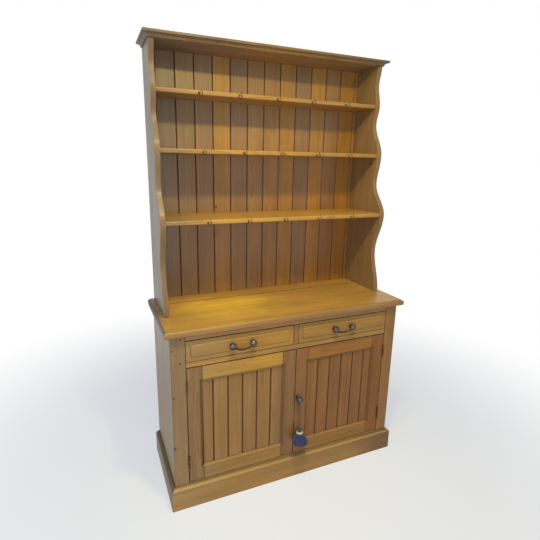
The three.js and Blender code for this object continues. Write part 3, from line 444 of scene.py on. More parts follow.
# The number after the grain makes slanted faces dark brown, as dirt and painted shade in vees and painted shade on
# bevels, and the last keyword gives slopes that look up a painted highlight.
PINE_MATCHBOARD = waxed_pine("pine_matchboard", ALONG_Z, 0.8, [REDDENED])
PINE_PANEL = waxed_pine("pine_door_panel", ALONG_Z, 0.8, polish=0.5)
PINE_FRAME_UPRIGHT = waxed_pine("pine_frame_upright", ALONG_Z, 0.45, polish=0.5)
PINE_FRAME_LEVEL = waxed_pine("pine_frame_level", ALONG_X, 0.3, [PAINTED_WINDOW_LIGHT], polish=0.5, upward_highlight=0.08)
PINE_DRAWER = waxed_pine("pine_drawer_front", ALONG_X, 0.85, [PAINTED_WINDOW_LIGHT], polish=0.5, upward_highlight=1.0)
PINE_PLINTH = waxed_pine("pine_plinth", ALONG_X, 0.0, [PAINTED_WINDOW_LIGHT, PAINTED_SHADE_RIGHT_END], polish=0.6, upward_highlight=0.5)
PINE_CREST = waxed_pine("pine_crest", ALONG_X, 0.0, [PAINTED_LIGHT_MIDDLE], polish=0.2)
PINE_SHELF = waxed_pine("pine_shelf", ALONG_X, 0.0, [PAINTED_SHADOW_SHELF_ENDS])
PINE_WORKTOP = waxed_pine("pine_worktop", ALONG_X, 0.0, [PAINTED_LAMPLIGHT, PAINTED_SHADOW_WORKTOP_END], polish=0.6)
print(PINE_FIGURE.users, "kinds of pine share one figure")

# %% [markdown]
# ## Softened boards
# No board on an old piece has a razor edge. A copy of each solid is cleaned into plain faces, and the Bevel
# modifier rounds every edge that turns sharply by about a millimetre. The copy then stands for the solid.

# %% Clean copies and finished pieces
SMALLEST_STEP = 0.01 * MM
FLAT_TURN = math.radians(0.3)


def linked(name, data):
    obj = bpy.data.objects.new(name, data)
    scene.collection.objects.link(obj)
    return obj


def smoothed(mesh):
    for polygon in mesh.polygons:
        polygon.use_smooth = True
    return mesh


def dressed(name, data, body, slot, *replaced):
    """A finished piece: it rides on a body and may stand for solids. slot is not used."""
    piece = linked(name, data)
    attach(piece, body)
    if replaced:
        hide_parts(*replaced)
    return piece


def plain_copy(node):
    mesh = nodes[node].data.copy()
    shape = bmesh.new()
    shape.from_mesh(mesh)
    bmesh.ops.remove_doubles(shape, verts=shape.verts, dist=SMALLEST_STEP)
    bmesh.ops.dissolve_limit(shape, angle_limit=FLAT_TURN, verts=shape.verts, edges=shape.edges)
    shape.to_mesh(mesh)
    shape.free()
    for layer in list(mesh.attributes):
        if layer.name.startswith("custom_normal"):
            mesh.attributes.remove(layer)
    mesh.materials.clear()
    return mesh


def baked_mesh(work):
    """The mesh that an object's modifiers make, as a plain mesh. The object itself is removed."""
    graph = bpy.context.evaluated_depsgraph_get()
    mesh = bpy.data.meshes.new_from_object(work.evaluated_get(graph), depsgraph=graph)
    old = work.data
    bpy.data.objects.remove(work)
    if old.users == 0 and isinstance(old, bpy.types.Mesh):
        bpy.data.meshes.remove(old)
    return mesh


print("corners closer than", SMALLEST_STEP / MM, "mm are merged")

# %% [markdown]
# ## Rounded edges and the values of a board
# The faces that the bevel made are marked, so that the finish can make them paler as rubbed edges, or dark
# brown: painted shadow where they lie along a gap, and dirt with painted shade in the vees between boards. On
# those dark-edged boards the edges that look upwards get a painted highlight instead, but for the top edge of
# a door or a drawer, which lies in its gap. A door panel is one solid, so its boards are told apart by their
# places.

# %% Soften one solid
SHARP_TURN = math.radians(38)
FRAME_TURN = math.radians(30)
PLAIN_ARRIS = 1.0 * MM
LOOKS_UP = 0.5
TOP_EDGE = 3 * MM
# Upward rounded edges of dark-edged boards get this much painted highlight.
UPWARD_HIGHLIGHT = 2.2
HEART_SHIFT = 0.05
LOG_PLACES = 40
TONE_SHIFT = 0.07
random_tone = random.Random(11)


def rounded_copy(node, material, width, turn):
    """A clean copy with rounded edges, whose new faces have the second material slot."""
    mesh = smoothed(plain_copy(node))
    mesh.materials.append(material)
    mesh.materials.append(material)
    work = linked(f"{node}_work", mesh)
    bevel = work.modifiers.new("arris", "BEVEL")
    bevel.width = width
    bevel.segments = 2
    bevel.limit_method = "ANGLE"
    bevel.angle_limit = turn
    bevel.harden_normals = True
    bevel.material = 1
    mesh = baked_mesh(work)
    mesh.name = f"{node}_board"
    return mesh


def board_strips(low, high, tone, splits):
    """For each board in a solid: its right edge, its place in the log, its tone and its heart."""
    middle = [(a + b) / 2 for a, b in zip(low, high)]
    edges = [low[0], *splits, high[0]]
    strips = []
    for left, right in zip(edges, edges[1:]):
        heart = Vector(((left + right) / 2, middle[1], middle[2]))
        heart += Vector([random_tone.uniform(-HEART_SHIFT, HEART_SHIFT) for _ in range(3)])
        board = random_tone.uniform(0, LOG_PLACES)
        strips.append((right, board, tone + random_tone.uniform(-TONE_SHIFT, TONE_SHIFT), heart))
    return strips


def soften(
    node, material, tone, russet=0.0, width=PLAIN_ARRIS, splits=(), shade_and_dirt_edges=False, shade=1.0, turn=SHARP_TURN
):
    """Rounds a board's edges. splits are the places along X where a boarded panel changes board.
    shade_and_dirt_edges makes the rounded edges dark brown, as painted shadow along gaps and as dirt with painted
    shade in vees, and gives those that look upwards a painted highlight, where other boards have all their
    rounded edges rubbed paler. shade makes the whole board darker or lighter, and turn is the least angle of an
    edge that is rounded."""
    mesh = rounded_copy(node, material, width, turn)
    low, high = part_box(node)
    strips = board_strips(low, high, tone, splits)
    values = {name: [] for name in ("board", "tone", "russet", "heart", "shade", "arris", "shade_and_dirt")}
    for polygon in mesh.polygons:
        _, board, own_tone, heart = next((s for s in strips if polygon.center.x <= s[0]), strips[-1])
        rounded = float(polygon.material_index == 1)
        looks_up = polygon.normal.z > LOOKS_UP and polygon.center.z < high[2] - TOP_EDGE
        values["board"].append(board)
        values["tone"].append(own_tone)
        values["russet"].append(russet)
        values["heart"].extend(heart)
        values["shade"].append(shade)
        # Dark-edged boards: upward edges get a painted highlight, the other rounded edges painted shadow in gaps
        # and dirt with painted shade in vees.
        values["arris"].append(rounded * (UPWARD_HIGHLIGHT * looks_up if shade_and_dirt_edges else 1.0))
        values["shade_and_dirt"].append(rounded * (shade_and_dirt_edges and not looks_up))
        polygon.material_index = 0
    mesh.materials.pop(index=1)
    for name, numbers in values.items():
        kind, field = ("FLOAT_VECTOR", "vector") if name == "heart" else ("FLOAT", "value")
        mesh.attributes.new(name, kind, "FACE").data.foreach_set(field, numbers)
    return dressed(f"{node}_board", mesh, body_of[node], slot_of[node], node)


print("edges that turn more than", round(math.degrees(SHARP_TURN)), "degrees are rounded")

# %% [markdown]
# ## Faces with values of their own
# Some faces of a board differ from the rest of it: the front edge of a rack side is redder than the side, and
# on the left side it is also darker, most of all above its upper wave, and the faces that look into the gap
# round a door or a drawer get painted shadow. Small functions pick them.

# %% Pick faces and change a value
SIDEWAYS = 0.3
# Painted shadow on faces that look into a gap.
GAP_SHADOW = 0.9


def set_faces(piece, layer, value, chosen):
    """Gives one of a board's values anew to the faces that chosen picks."""
    for polygon in piece.data.polygons:
        if chosen(polygon):
            piece.data.attributes[layer].data[polygon.index].value = value


def looks_forward(face):
    return face.normal.y < -SIDEWAYS


def looks_left(face):
    return face.normal.x < -SIDEWAYS


def slopes(low, high):
    """Picks the faces whose normal rises by a share that lies between the two given."""
    return lambda face: low < face.normal.z < high


def gap_rim_shadow(piece, low, high):
    """Painted shadow on the faces that look into the gap round a drawer or a door, whose corners are given."""
    def in_gap(face):
        room = min(min(face.center[k] - low[k], high[k] - face.center[k]) for k in (0, 2))
        return abs(face.normal.y) < SIDEWAYS and room < TOP_EDGE

    set_faces(piece, "shade_and_dirt", GAP_SHADOW, in_gap)


print("gap faces lie within", round(TOP_EDGE / MM), "mm of an outline")

# %% [markdown]
# ## The boards of the rack
# Each board is named with the direction of its grain and its tone, from 0 for grey brown to 1 for honey. The
# matchboards behind the rack differ the most. The top board has no rubbed edges. Its front face and the
# slopes of its moulding get painted shade, its left end painted light, and its middle a painted patch of light
# from its material.

# %% Rack boards
MATCHBOARD_SHARES = (
    (0.15, 0.0), (0.25, 0.0), (0.30, 0.0), (0.68, 0.0), (0.40, 0.0), (0.45, 0.0),
    (0.60, 0.0), (0.90, 0.0), (0.40, 0.0), (0.90, 0.0), (0.55, 0.1), (0.90, 0.1),
)
THIN_ARRIS = 0.8 * MM
RACK_SIDE_ARRIS = 1.6 * MM
UPPER_WAVE = 1.62
SQUARE_ON = 0.9

for number, (share, russet) in enumerate(MATCHBOARD_SHARES, start=1):
    node = f"rack_back_board_{number:02d}"
    # Dark vees: dirt with painted shade.
    soften(node, PINE_MATCHBOARD, share, russet, THIN_ARRIS, shade_and_dirt_edges=True, shade=0.95)
side_board = soften("rack_side_left", PINE_UPRIGHT, 0.3, 0.04, RACK_SIDE_ARRIS, shade=0.88)
set_faces(side_board, "shade", 0.8, looks_forward)
set_faces(side_board, "shade", 0.58, lambda face: looks_forward(face) and face.center.z > UPPER_WAVE)
set_faces(side_board, "russet", 0.14, looks_forward)
side_board = soften("rack_side_right", PINE_UPRIGHT, 0.47, 0.07, RACK_SIDE_ARRIS, shade=0.88)
set_faces(side_board, "arris", 0.4, lambda face: looks_forward(face) and face.normal.x > -SQUARE_ON)
set_faces(side_board, "russet", 0.25, looks_forward)
for level, share, russet, shade in (
    ("bottom", 0.95, 0.02, 1.03),
    ("middle", 0.9, 0.08, 0.95),
    ("top", 0.85, 0.2, 0.9),
):
    soften(f"rack_shelf_{level}", PINE_SHELF, share, russet, THIN_ARRIS, shade=shade)
crest = soften("rack_top_board", PINE_CREST, 0.0, 0.15, shade=1.12)
# Painted shade on the front and upward slopes of the moulding, and painted light on its left end.
set_faces(crest, "arris", 0.0, lambda face: True)
set_faces(crest, "shade", 0.72, slopes(-0.25, 0.05))
set_faces(crest, "shade", 0.52, slopes(0.05, 0.95))
set_faces(crest, "shade", 1.15, looks_left)
print(len(MATCHBOARD_SHARES), "matchboards, two sides, three shelves and a top board")

# %% [markdown]
# ## The boards of the base
# The worktop has a groove near its back edge, in which plates lean, and the groove is dark brown. Its front
# edge is redder than its top. A painted pool of lamplight lies on its top, and its left end and the faces
# that look left get painted shadow. The face frame round the doors has painted shadow on its edges, because
# they all lie in gaps.

# %% Worktop
EDGE_ROOM = 60 * MM
GROOVE_DEPTH = 0.2 * MM
GROOVE_RISE = 0.1
FRONT_EDGE_TURN = 0.5


def in_plate_groove(face):
    """The groove that plates lean in runs well inside the board, and dips below its top."""
    low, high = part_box("worktop")
    inside = all(low[k] + EDGE_ROOM < face.center[k] < high[k] - EDGE_ROOM for k in (0, 1))
    return inside and face.normal.z > GROOVE_RISE and face.center.z < high[2] - GROOVE_DEPTH


def in_front_edge(face):
    return face.normal.y < -FRONT_EDGE_TURN


worktop = soften("worktop", PINE_WORKTOP, 0.82, shade=1.12)
# The plate groove goes dark brown, the front edge redder, and the faces that look left get painted shade.
for chosen, values in (
    (in_plate_groove, {"shade_and_dirt": 1.0, "arris": 0.0}),
    (in_front_edge, {"tone": 0.52, "russet": 0.32, "arris": 0.3, "shade": 1.03}),
    (looks_left, {"tone": 0.2, "arris": 0.0, "shade": 0.36}),
):
    for layer, value in values.items():
        set_faces(worktop, layer, value, chosen)
print(sum(in_plate_groove(face) for face in worktop.data.polygons), "faces in the plate groove")

# %% Case, face frame and plinth
GAP_ARRIS = 1.6 * MM

for node, share, russet, shade in (
    ("case_side_left", 0.45, 0.0, 0.97),
    ("case_side_right", 0.5, 0.2, 1.0),
    ("front_stile_left", 0.3, 0.12, 1.04),
    ("front_stile_right", 0.66, 0.5, 1.02),
    ("front_muntin", 0.6, 0.25, 0.95),
    ("case_back", 0.3, 0.0, 1.0),
):
    # The front pieces get painted shadow on their edges, which lie in gaps.
    soften(node, PINE_UPRIGHT, share, russet, shade_and_dirt_edges=node.startswith("front"), shade=shade)
for place, share, russet, shade in (("top", 0.6, 0.35, 1.12), ("middle", 0.8, 0.22, 1.0)):
    soften(f"front_{place}_rail", PINE_LEVEL, share, russet, GAP_ARRIS, shade_and_dirt_edges=True, shade=shade)
for node, share in (("case_floor", 0.4), ("cupboard_shelf", 0.5), ("drawer_runner_frame", 0.4)):
    soften(node, PINE_LEVEL, share)
soften("plinth_front", PINE_PLINTH, 0.7, 0.2, shade=1.11)
# The left end of the plinth gets painted shade.
for node, shade in (
    ("plinth_left", 0.44),
    ("plinth_right", 0.9),
    ("drawer_left_box", 1.0),
    ("drawer_right_box", 1.0),
):
    soften(node, PINE_DEEP, 0.5, shade=shade)
print("case, face frame, plinth and drawer boxes have their boards")

# %% [markdown]
# ## Drawer fronts and doors
# A drawer front has a raised field with a bevel round it, which the slopes of its finish pick out: painted
# shade on the slopes that don't look upwards, and a painted highlight on those that do. A door is a frame
# round a panel of narrow boards. Where the vees between them lie is measured from the frame, with the first
# and last board cut narrower, as a joiner leaves them.

# %% Drawer fronts
for side, share in (("left", 0.82), ("right", 0.8)):
    node = f"drawer_{side}_front"
    front = soften(node, PINE_DRAWER, share, 0.18, GAP_ARRIS, shade_and_dirt_edges=True, shade=1.03)
    # Painted shadow on the faces that look into its gap.
    gap_rim_shadow(front, *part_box(node))
    print(node, "has", len(front.data.polygons), "faces")

# %% Doors
DOOR_GROOVES = 5
EDGE_BOARD_SHARE = 0.75
BOARD_SHIFTS = {"left": -4 * MM, "right": 7 * MM}
DOOR_ARRIS = 1.2 * MM
MEETING_ARRIS = 2.0 * MM
DOOR_SHARES = {
    "left": {
        "hinge_stile": (0.4, 0.25, 1.0),
        "meeting_stile": (0.4, 0.45, 1.0),
        "top_rail": (0.96, 0.1, 1.13),
        "bottom_rail": (0.7, 0.18, 1.06),
        "panel": (0.5, 0.3, 1.05),
    },
    "right": {
        "hinge_stile": (0.6, 0.75, 0.94),
        "meeting_stile": (0.42, 0.55, 1.0),
        "top_rail": (0.75, 0.62, 1.0),
        "bottom_rail": (0.65, 0.4, 1.0),
        "panel": (0.46, 0.66, 1.0),
    },
}


def panel_grooves(side):
    """Where the vees of a door panel lie along X, from the frame of the door round it."""
    leftmost, rightmost = ("hinge", "meeting") if side == "left" else ("meeting", "hinge")
    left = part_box(f"door_{side}_{leftmost}_stile")[1][0]
    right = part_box(f"door_{side}_{rightmost}_stile")[0][0]
    pitch = (right - left) / (DOOR_GROOVES - 1 + 2 * EDGE_BOARD_SHARE)
    first = left + pitch * EDGE_BOARD_SHARE + BOARD_SHIFTS[side]
    return [first + pitch * i for i in range(DOOR_GROOVES)]


for side, pieces in DOOR_SHARES.items():
    corners = [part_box(f"door_{side}_{stile}_stile") for stile in ("hinge", "meeting")]
    door_low = [min(low[k] for low, high in corners) for k in range(3)]
    door_high = [max(high[k] for low, high in corners) for k in range(3)]
    for piece, (share, russet, shade) in pieces.items():
        node = f"door_{side}_{piece}"
        # Panel vees get dirt with painted shade; frame members get painted shadow on edges that lie in gaps.
        if piece == "panel":
            soften(node, PINE_PANEL, share, russet, splits=panel_grooves(side), shade_and_dirt_edges=True, shade=shade)
        else:
            grain = PINE_FRAME_LEVEL if piece.endswith("rail") else PINE_FRAME_UPRIGHT
            width = MEETING_ARRIS if piece == "meeting_stile" else DOOR_ARRIS
            member = soften(node, grain, share, russet, width, shade_and_dirt_edges=True, shade=shade, turn=FRAME_TURN)
            gap_rim_shadow(member, door_low, door_high)
    print(side, "door: vees at", [round(x, 3) for x in panel_grooves(side)])

# %% [markdown]
# ## Metals that have aged
# The handles and the knob are a dull grey pewter, the hinges are dark iron, and the hooks are worn plate.
# Handling has polished the high places, and the rest has gone dark, so both the colour and the roughness
# follow the same slow noise. That noise and the fine pits are one shared group.

# %% Metals
TARNISH = (0.35, 0.65)
PITS_PER_CLOUD = 9.0
PIT_BUMP = (0.2, 0.1 * MM)


def tarnish_group():
    tree, given, result = new_group("tarnish", [("Place", "Vector"), ("Scale", "Float")], ("Wear", "Pits"))
    wear = noise_node(tree, given["Place"], given["Scale"], 3.0)
    pits = noise_node(tree, given["Place"], times(tree, given["Scale"], PITS_PER_CLOUD))
    return give(tree, result, Wear=wear, Pits=pits)


AGED_METAL = tarnish_group()


def worn_metal(name, dark, bright, rough_low, rough_high, scale=120.0):
    material, tree, surface = new_material(name)
    wear, pits = placed(tree, AGED_METAL, {"Place": object_place(tree), "Scale": scale})
    set_surface(
        tree, surface, Metallic=1.0, Normal=bumped(tree, pits, *PIT_BUMP),
        Base_Color=mixed(tree, spread(tree, wear, *TARNISH), dark, bright),
        Roughness=spread(tree, wear, *TARNISH, rough_high, rough_low),
    )
    return material


PEWTER = worn_metal("aged_pewter", colour(68, 61, 58), colour(112, 106, 103), 0.30, 0.46)
BAIL_METAL = worn_metal("handled_pewter", colour(60, 50, 45), colour(90, 76, 68), 0.42, 0.60)
IRON = worn_metal("dark_iron", colour(76, 62, 52), colour(112, 96, 82), 0.45, 0.65)
HOOK_METAL = worn_metal("worn_brass_plate", colour(60, 43, 29), colour(134, 106, 74), 0.36, 0.56, 300.0)
print("metals:", PEWTER.name, BAIL_METAL.name, IRON.name, HOOK_METAL.name)

# %% [markdown]
# ## Turned pieces and bent wire
# A handle post is turned on a lathe and a bail is forged round, so both are rings of points joined in order.
# One function joins any row of rings, and the profile or the path decides where the rings go.

# %% Rings, lathe and wire
TURNED_SIDES = 40
WIRE_SIDES = 14
MERGE_STEP = 0.001 * MM
POLE_RADIUS = 0.0004 * MM


def mesh_of(name, points, faces, material):
    mesh = bpy.data.meshes.new(name)
    mesh.from_pydata(points, [], faces)
    shape = bmesh.new()
    shape.from_mesh(mesh)
    bmesh.ops.remove_doubles(shape, verts=shape.verts, dist=MERGE_STEP)
    bmesh.ops.recalc_face_normals(shape, faces=shape.faces)
    shape.to_mesh(mesh)
    shape.free()
    mesh.materials.append(material)
    smoothed(mesh).set_sharp_from_angle(angle=SHARP_TURN)
    return mesh


def ringed(name, rings, material):
    sides = len(rings[0])
    points = [point for ring in rings for point in ring]
    faces = []
    for r in range(len(rings) - 1):
        for s in range(sides):
            t = (s + 1) % sides
            faces.append((r * sides + s, r * sides + t, (r + 1) * sides + t, (r + 1) * sides + s))
    faces.append(tuple(range(sides))[::-1])
    faces.append(tuple(range((len(rings) - 1) * sides, len(rings) * sides)))
    return mesh_of(name, points, faces, material)


def ring_about(centre, along, radius, sides):
    along = along.normalized()
    across = along.orthogonal() if abs(along.y) > 0.9 else along.cross(Vector((0, 1, 0))).normalized()
    other = along.cross(across)
    turns = [2 * math.pi * s / sides for s in range(sides)]
    return [centre + across * radius * math.cos(a) + other * radius * math.sin(a) for a in turns]


def turned_piece(name, origin, axis, profile, material, sides=TURNED_SIDES):
    """A lathe piece: profile is a list of (radius, distance along the axis from the origin)."""
    rings = [
        ring_about(origin + axis * along, axis, max(radius, POLE_RADIUS), sides) for radius, along in profile
    ]
    return ringed(name, rings, material)


def wire(name, path, radii, material, sides=WIRE_SIDES):
    rings = []
    for i, point in enumerate(path):
        along = path[min(i + 1, len(path) - 1)] - path[max(i - 1, 0)]
        rings.append(ring_about(point, along, radii[i], sides))
    return ringed(name, rings, material)


def ball(radius, centre, neck, steps=14):
    """Profile of a ball from its neck to its far pole, for a piece whose axis points outwards."""
    start = math.asin(neck / radius)
    angles = [start + (math.pi - start) * i / steps for i in range(steps + 1)]
    return [(radius * math.sin(a), centre - radius * math.cos(a)) for a in angles]


def merged(name, *meshes):
    """Several meshes in one, each with its own material."""
    shape = bmesh.new()
    materials = []
    for mesh in meshes:
        first = len(shape.faces)
        shape.from_mesh(mesh)
        shape.faces.ensure_lookup_table()
        for material in mesh.materials:
            if material not in materials:
                materials.append(material)
        for face in shape.faces[first:]:
            face.material_index = materials.index(mesh.materials[face.material_index])
    joined = bpy.data.meshes.new(name)
    shape.to_mesh(joined)
    shape.free()
    for material in materials:
        joined.materials.append(material)
    return joined


print("a turned piece has", TURNED_SIDES, "sides and a wire has", WIRE_SIDES)

# %% [markdown]
# ## The cord of the tassel
# A cord comes before the pieces on it, because its length and its route are facts that nothing else may
# change. It hangs in a loop over the neck of the knob, and the two strands run together 62 mm below. From
# there one strand goes on down, through the head of the tassel and into its skirt. The whole of it leans,
# because the skirt of the tassel holds it off the door.

# %% Sizes of the tassel, and how it leans
CORD_RADIUS = 1.6 * MM
LOOP_CLEARANCE = 0.5 * MM
NECK_RADIUS = 4.5 * MM
LOOP_LENGTH = 62 * MM
HEAD_TOP = 151 * MM
HEAD_HEIGHT = 18 * MM
BINDING_HEIGHT = 10 * MM
SKIRT_HEIGHT = 44 * MM
HEM_HEIGHT = 6 * MM
HEAD_RADIUS = 12 * MM
BINDING_RADIUS = 17.5 * MM
SHOULDER_RADIUS = 21 * MM
SKIRT_RADIUS = 41 * MM
DOOR_GAP = 1.3 * MM
SEAM = 0.3 * MM

neck = Vector(joints["tassel_swing"]["pos_m"])
door_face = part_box("door_right_meeting_stile")[0][1]
head_low = -(HEAD_TOP + HEAD_HEIGHT)
skirt_top = -(HEAD_TOP + HEAD_HEIGHT + BINDING_HEIGHT)
rim_drop = SKIRT_HEIGHT - skirt_top
lean = math.atan2(SKIRT_RADIUS, rim_drop)
lean += math.asin((neck.y - door_face + DOOR_GAP) / math.hypot(rim_drop, SKIRT_RADIUS))
hang = Matrix.Translation(neck) @ Matrix.Rotation(-lean, 4, "X")
print("the tassel leans", round(math.degrees(lean), 2), "degrees")

# %% [markdown]
# ## Yarn, as a cord and as loose strands
# The cord is plied: its slanted dark and bright bands wind down it. The yarns of the tassel are loose, so
# their light and dark follow clumps that run downwards. The fine fuzz is the same on all of them, and is a
# shared group.

# %% Yarns
FUZZ = (0.3, 0.7)
CORD_FUZZ_SCALE = 1800.0
YARN_FUZZ_SCALE = 1400.0
CLUMP_SCALE = 260.0
CLUMPS_DRAWN_OUT = (1.0, 1.0, 0.2)
PLY_BANDS_PER_M = 260.0
FUZZ_RELIEF = 0.5
CORD_BUMP = (0.8, 0.6 * MM)
YARN_BUMP = (0.6, 0.4 * MM)


def yarn_fuzz_group():
    tree, given, result = new_group(
        "yarn_fuzz", [("Place", "Vector"), ("Scale", "Float"), ("Darkest", "Float")], ("Fuzz", "Cover")
    )
    fuzz = noise_node(tree, given["Place"], given["Scale"])
    return give(tree, result, Fuzz=fuzz, Cover=spread(tree, fuzz, *FUZZ, given["Darkest"], 1.0))


YARN_FUZZ = yarn_fuzz_group()


def cord_yarn(name, dark, bright):
    material, tree, surface = new_material(name)
    place = object_place(tree)
    fuzz, cover = placed(tree, YARN_FUZZ, {"Place": place, "Scale": CORD_FUZZ_SCALE, "Darkest": 0.6})
    centred = vector_node(tree, "SUBTRACT", place, tuple(neck))
    parts = add_node(tree, "ShaderNodeSeparateXYZ", {"Vector": centred}).outputs
    turn = math_node(tree, "DIVIDE", parts["X"], 4 * CORD_RADIUS)
    phase = math_node(tree, "FRACT", plus(tree, turn, times(tree, parts["Z"], PLY_BANDS_PER_M)))
    ply = spread(tree, math_node(tree, "PINGPONG", phase, 0.5), 0.0, 0.5)
    relief = plus(tree, ply, times(tree, fuzz, FUZZ_RELIEF))
    set_surface(
        tree, surface, Base_Color=mixed(tree, times(tree, ply, cover), dark, bright), Roughness=0.9,
        Normal=bumped(tree, relief, *CORD_BUMP), Sheen_Weight=0.3,
    )
    return material


def soft_yarn(name, dark, bright):
    material, tree, surface = new_material(name)
    place = object_place(tree)
    fuzz, cover = placed(tree, YARN_FUZZ, {"Place": place, "Scale": YARN_FUZZ_SCALE, "Darkest": 0.5})
    clumps = noise_node(tree, vector_node(tree, "MULTIPLY", place, CLUMPS_DRAWN_OUT), CLUMP_SCALE)
    share = times(tree, spread(tree, clumps, *FUZZ), cover)
    set_surface(
        tree, surface, Base_Color=mixed(tree, share, dark, bright), Roughness=0.85,
        Normal=bumped(tree, fuzz, *YARN_BUMP), Sheen_Weight=0.35,
    )
    return material


CORD_YARN = cord_yarn("twisted_cord", colour(48, 46, 62), colour(104, 98, 116))
NAVY_YARN = soft_yarn("navy_yarn", colour(30, 34, 70), colour(66, 72, 126))
HEAD_YARN = soft_yarn("head_yarn", colour(46, 40, 60), colour(88, 78, 104))
BINDING_YARN = soft_yarn("binding_yarn", colour(186, 178, 150), colour(238, 232, 208))
print("yarns:", CORD_YARN.name, NAVY_YARN.name, HEAD_YARN.name, BINDING_YARN.name)

# %% [markdown]
# ## The two strands
# Both strands start at the top of the neck and go round it, one to each side. They close in smoothly until
# they all but touch, and the long one goes on alone. Each is a curve with a round bevel, so its length is
# known.

# %% Tassel cord
LOOP_STEPS = 10
STRAND_STEPS = 12
CORD_END_SHARE = 0.7
CORD_BEVEL_STEPS = 5

loop_top = NECK_RADIUS + CORD_RADIUS + LOOP_CLEARANCE
loop_close = CORD_RADIUS + SEAM


def loop_half(hand):
    """Centre of one strand, from the top of the neck round its side and down to where the strands meet."""
    points = []
    for i in range(LOOP_STEPS + 1):
        angle = QUARTER * (1 - i / LOOP_STEPS)
        points.append(Vector((hand * loop_top * math.cos(angle), 0, loop_top * math.sin(angle))))
    for i in range(1, LOOP_STEPS + 1):
        way = i / LOOP_STEPS
        width = loop_top + (loop_close - loop_top) * (way * way * (3 - 2 * way))
        points.append(Vector((hand * width, 0, -LOOP_LENGTH * way)))
    return points


def lower_strand(start, end):
    """Centre of the long strand below the short one, where it moves to the middle as it goes down."""
    ways = [i / STRAND_STEPS for i in range(STRAND_STEPS + 1)]
    return [Vector((loop_close * (1 - way) ** 2, 0, start + (end - start) * way)) for way in ways]


def cord_curve(name, points, material):
    curve = bpy.data.curves.new(name, "CURVE")
    curve.dimensions = "3D"
    curve.bevel_depth = CORD_RADIUS
    curve.bevel_resolution = CORD_BEVEL_STEPS
    curve.use_fill_caps = True
    spline = curve.splines.new("POLY")
    spline.points.add(len(points) - 1)
    for target, point in zip(spline.points, points):
        target.co = (*(hang @ point), 1.0)
    curve.materials.append(material)
    return linked(name, curve)


def path_length(points):
    return sum((b - a).length for a, b in zip(points, points[1:]))


right_half = loop_half(1)
left_half = loop_half(-1)
cord_end = skirt_top - SKIRT_HEIGHT * CORD_END_SHARE
long_strand = right_half[:-1] + lower_strand(right_half[-1].z, cord_end)
cord_long = cord_curve("tassel_cord_long", long_strand, CORD_YARN)
cord_short = cord_curve("tassel_cord_short", left_half, CORD_YARN)
print("cord lengths", [round(path_length(p), 4) for p in (long_strand, left_half)])

# %% [markdown]
# ## The tassel
# A tassel is a bundle of yarn: tied into a round head, bound with a pale thread, and left loose below as a
# skirt. The skirt is the piece that follows a rule, so Geometry Nodes lay some hundreds of strands round the
# cone, each turned and lengthened a little by a fixed seed. A solid core under them keeps light out.

# %% Helpers for Geometry Nodes
def geometry_tree(name, inputs):
    tree = bpy.data.node_groups.new(name, "GeometryNodeTree")
    for label, kind in (("Geometry", "Geometry"), *inputs):
        tree.interface.new_socket(label, in_out="INPUT", socket_type=f"NodeSocket{kind}")
    tree.interface.new_socket("Geometry", in_out="OUTPUT", socket_type="NodeSocketGeometry")
    return tree, tree.nodes.new("NodeGroupInput").outputs, tree.nodes.new("NodeGroupOutput").inputs


def scattered(tree, copies, material, result):
    """Puts copies on points, makes them plain geometry and gives them their material."""
    copies = add_node(tree, "GeometryNodeInstanceOnPoints", copies).outputs[0]
    real = add_node(tree, "GeometryNodeRealizeInstances", {"Geometry": copies}).outputs[0]
    finish = add_node(tree, "GeometryNodeSetMaterial", {"Geometry": real, "Material": material}).outputs[0]
    tree.links.new(finish, result["Geometry"])
    return tree


def grown(name, start_mesh, tree, values):
    """Runs a geometry tree on a mesh and gives back the plain mesh that it makes."""
    work = linked(name, start_mesh)
    modifier = work.modifiers.new(name, "NODES")
    modifier.node_group = tree
    for item in tree.interface.items_tree:
        if item.in_out == "INPUT" and item.name in values:
            modifier[item.identifier] = values[item.name]
    mesh = baked_mesh(work)
    mesh.name = name
    return smoothed(mesh)


def random_node(tree, low, high, seed):
    """A random number for each copy, or a random vector where low and high are vectors."""
    if isinstance(low, tuple):
        kind, first, output = "FLOAT_VECTOR", 0, 0
    else:
        kind, first, output = "FLOAT", 2, 1
    inputs = {first: low, first + 1: high, "Seed": seed}
    return add_node(tree, "FunctionNodeRandomValue", inputs, data_type=kind).outputs[output]


print("geometry helpers ready")

# %% [markdown]
# ## The strands of the skirt
# One strand is a thin tube along a bend that falls from the shoulder to the rim. Each copy is turned by the
# golden angle from the one before, so that no two ever lie in line, and gets a length of its own.

# %% Skirt strands by Geometry Nodes
STRAND_COUNT = 260
STRAND_RADIUS = 1.25 * MM
STRAND_STARTS_AT = 15 * MM
STRAND_TUCK = 2 * MM
GOLDEN_TURN = math.pi * (3 - math.sqrt(5))
STRAND_JITTER = 0.05
STRAND_SIDES = 6
STRAND_POINTS = 9
STRAND_BEND = -0.35
UPPER_HANDLE = (1.45, 0.5)
LOWER_HANDLE = (0.93, 1.9)
HEM_SHARE = 0.8
SHORTEST_STRAND = (0.90, 0.90, 0.95)
LONGEST_STRAND = (0.985, 0.985, 1.05)


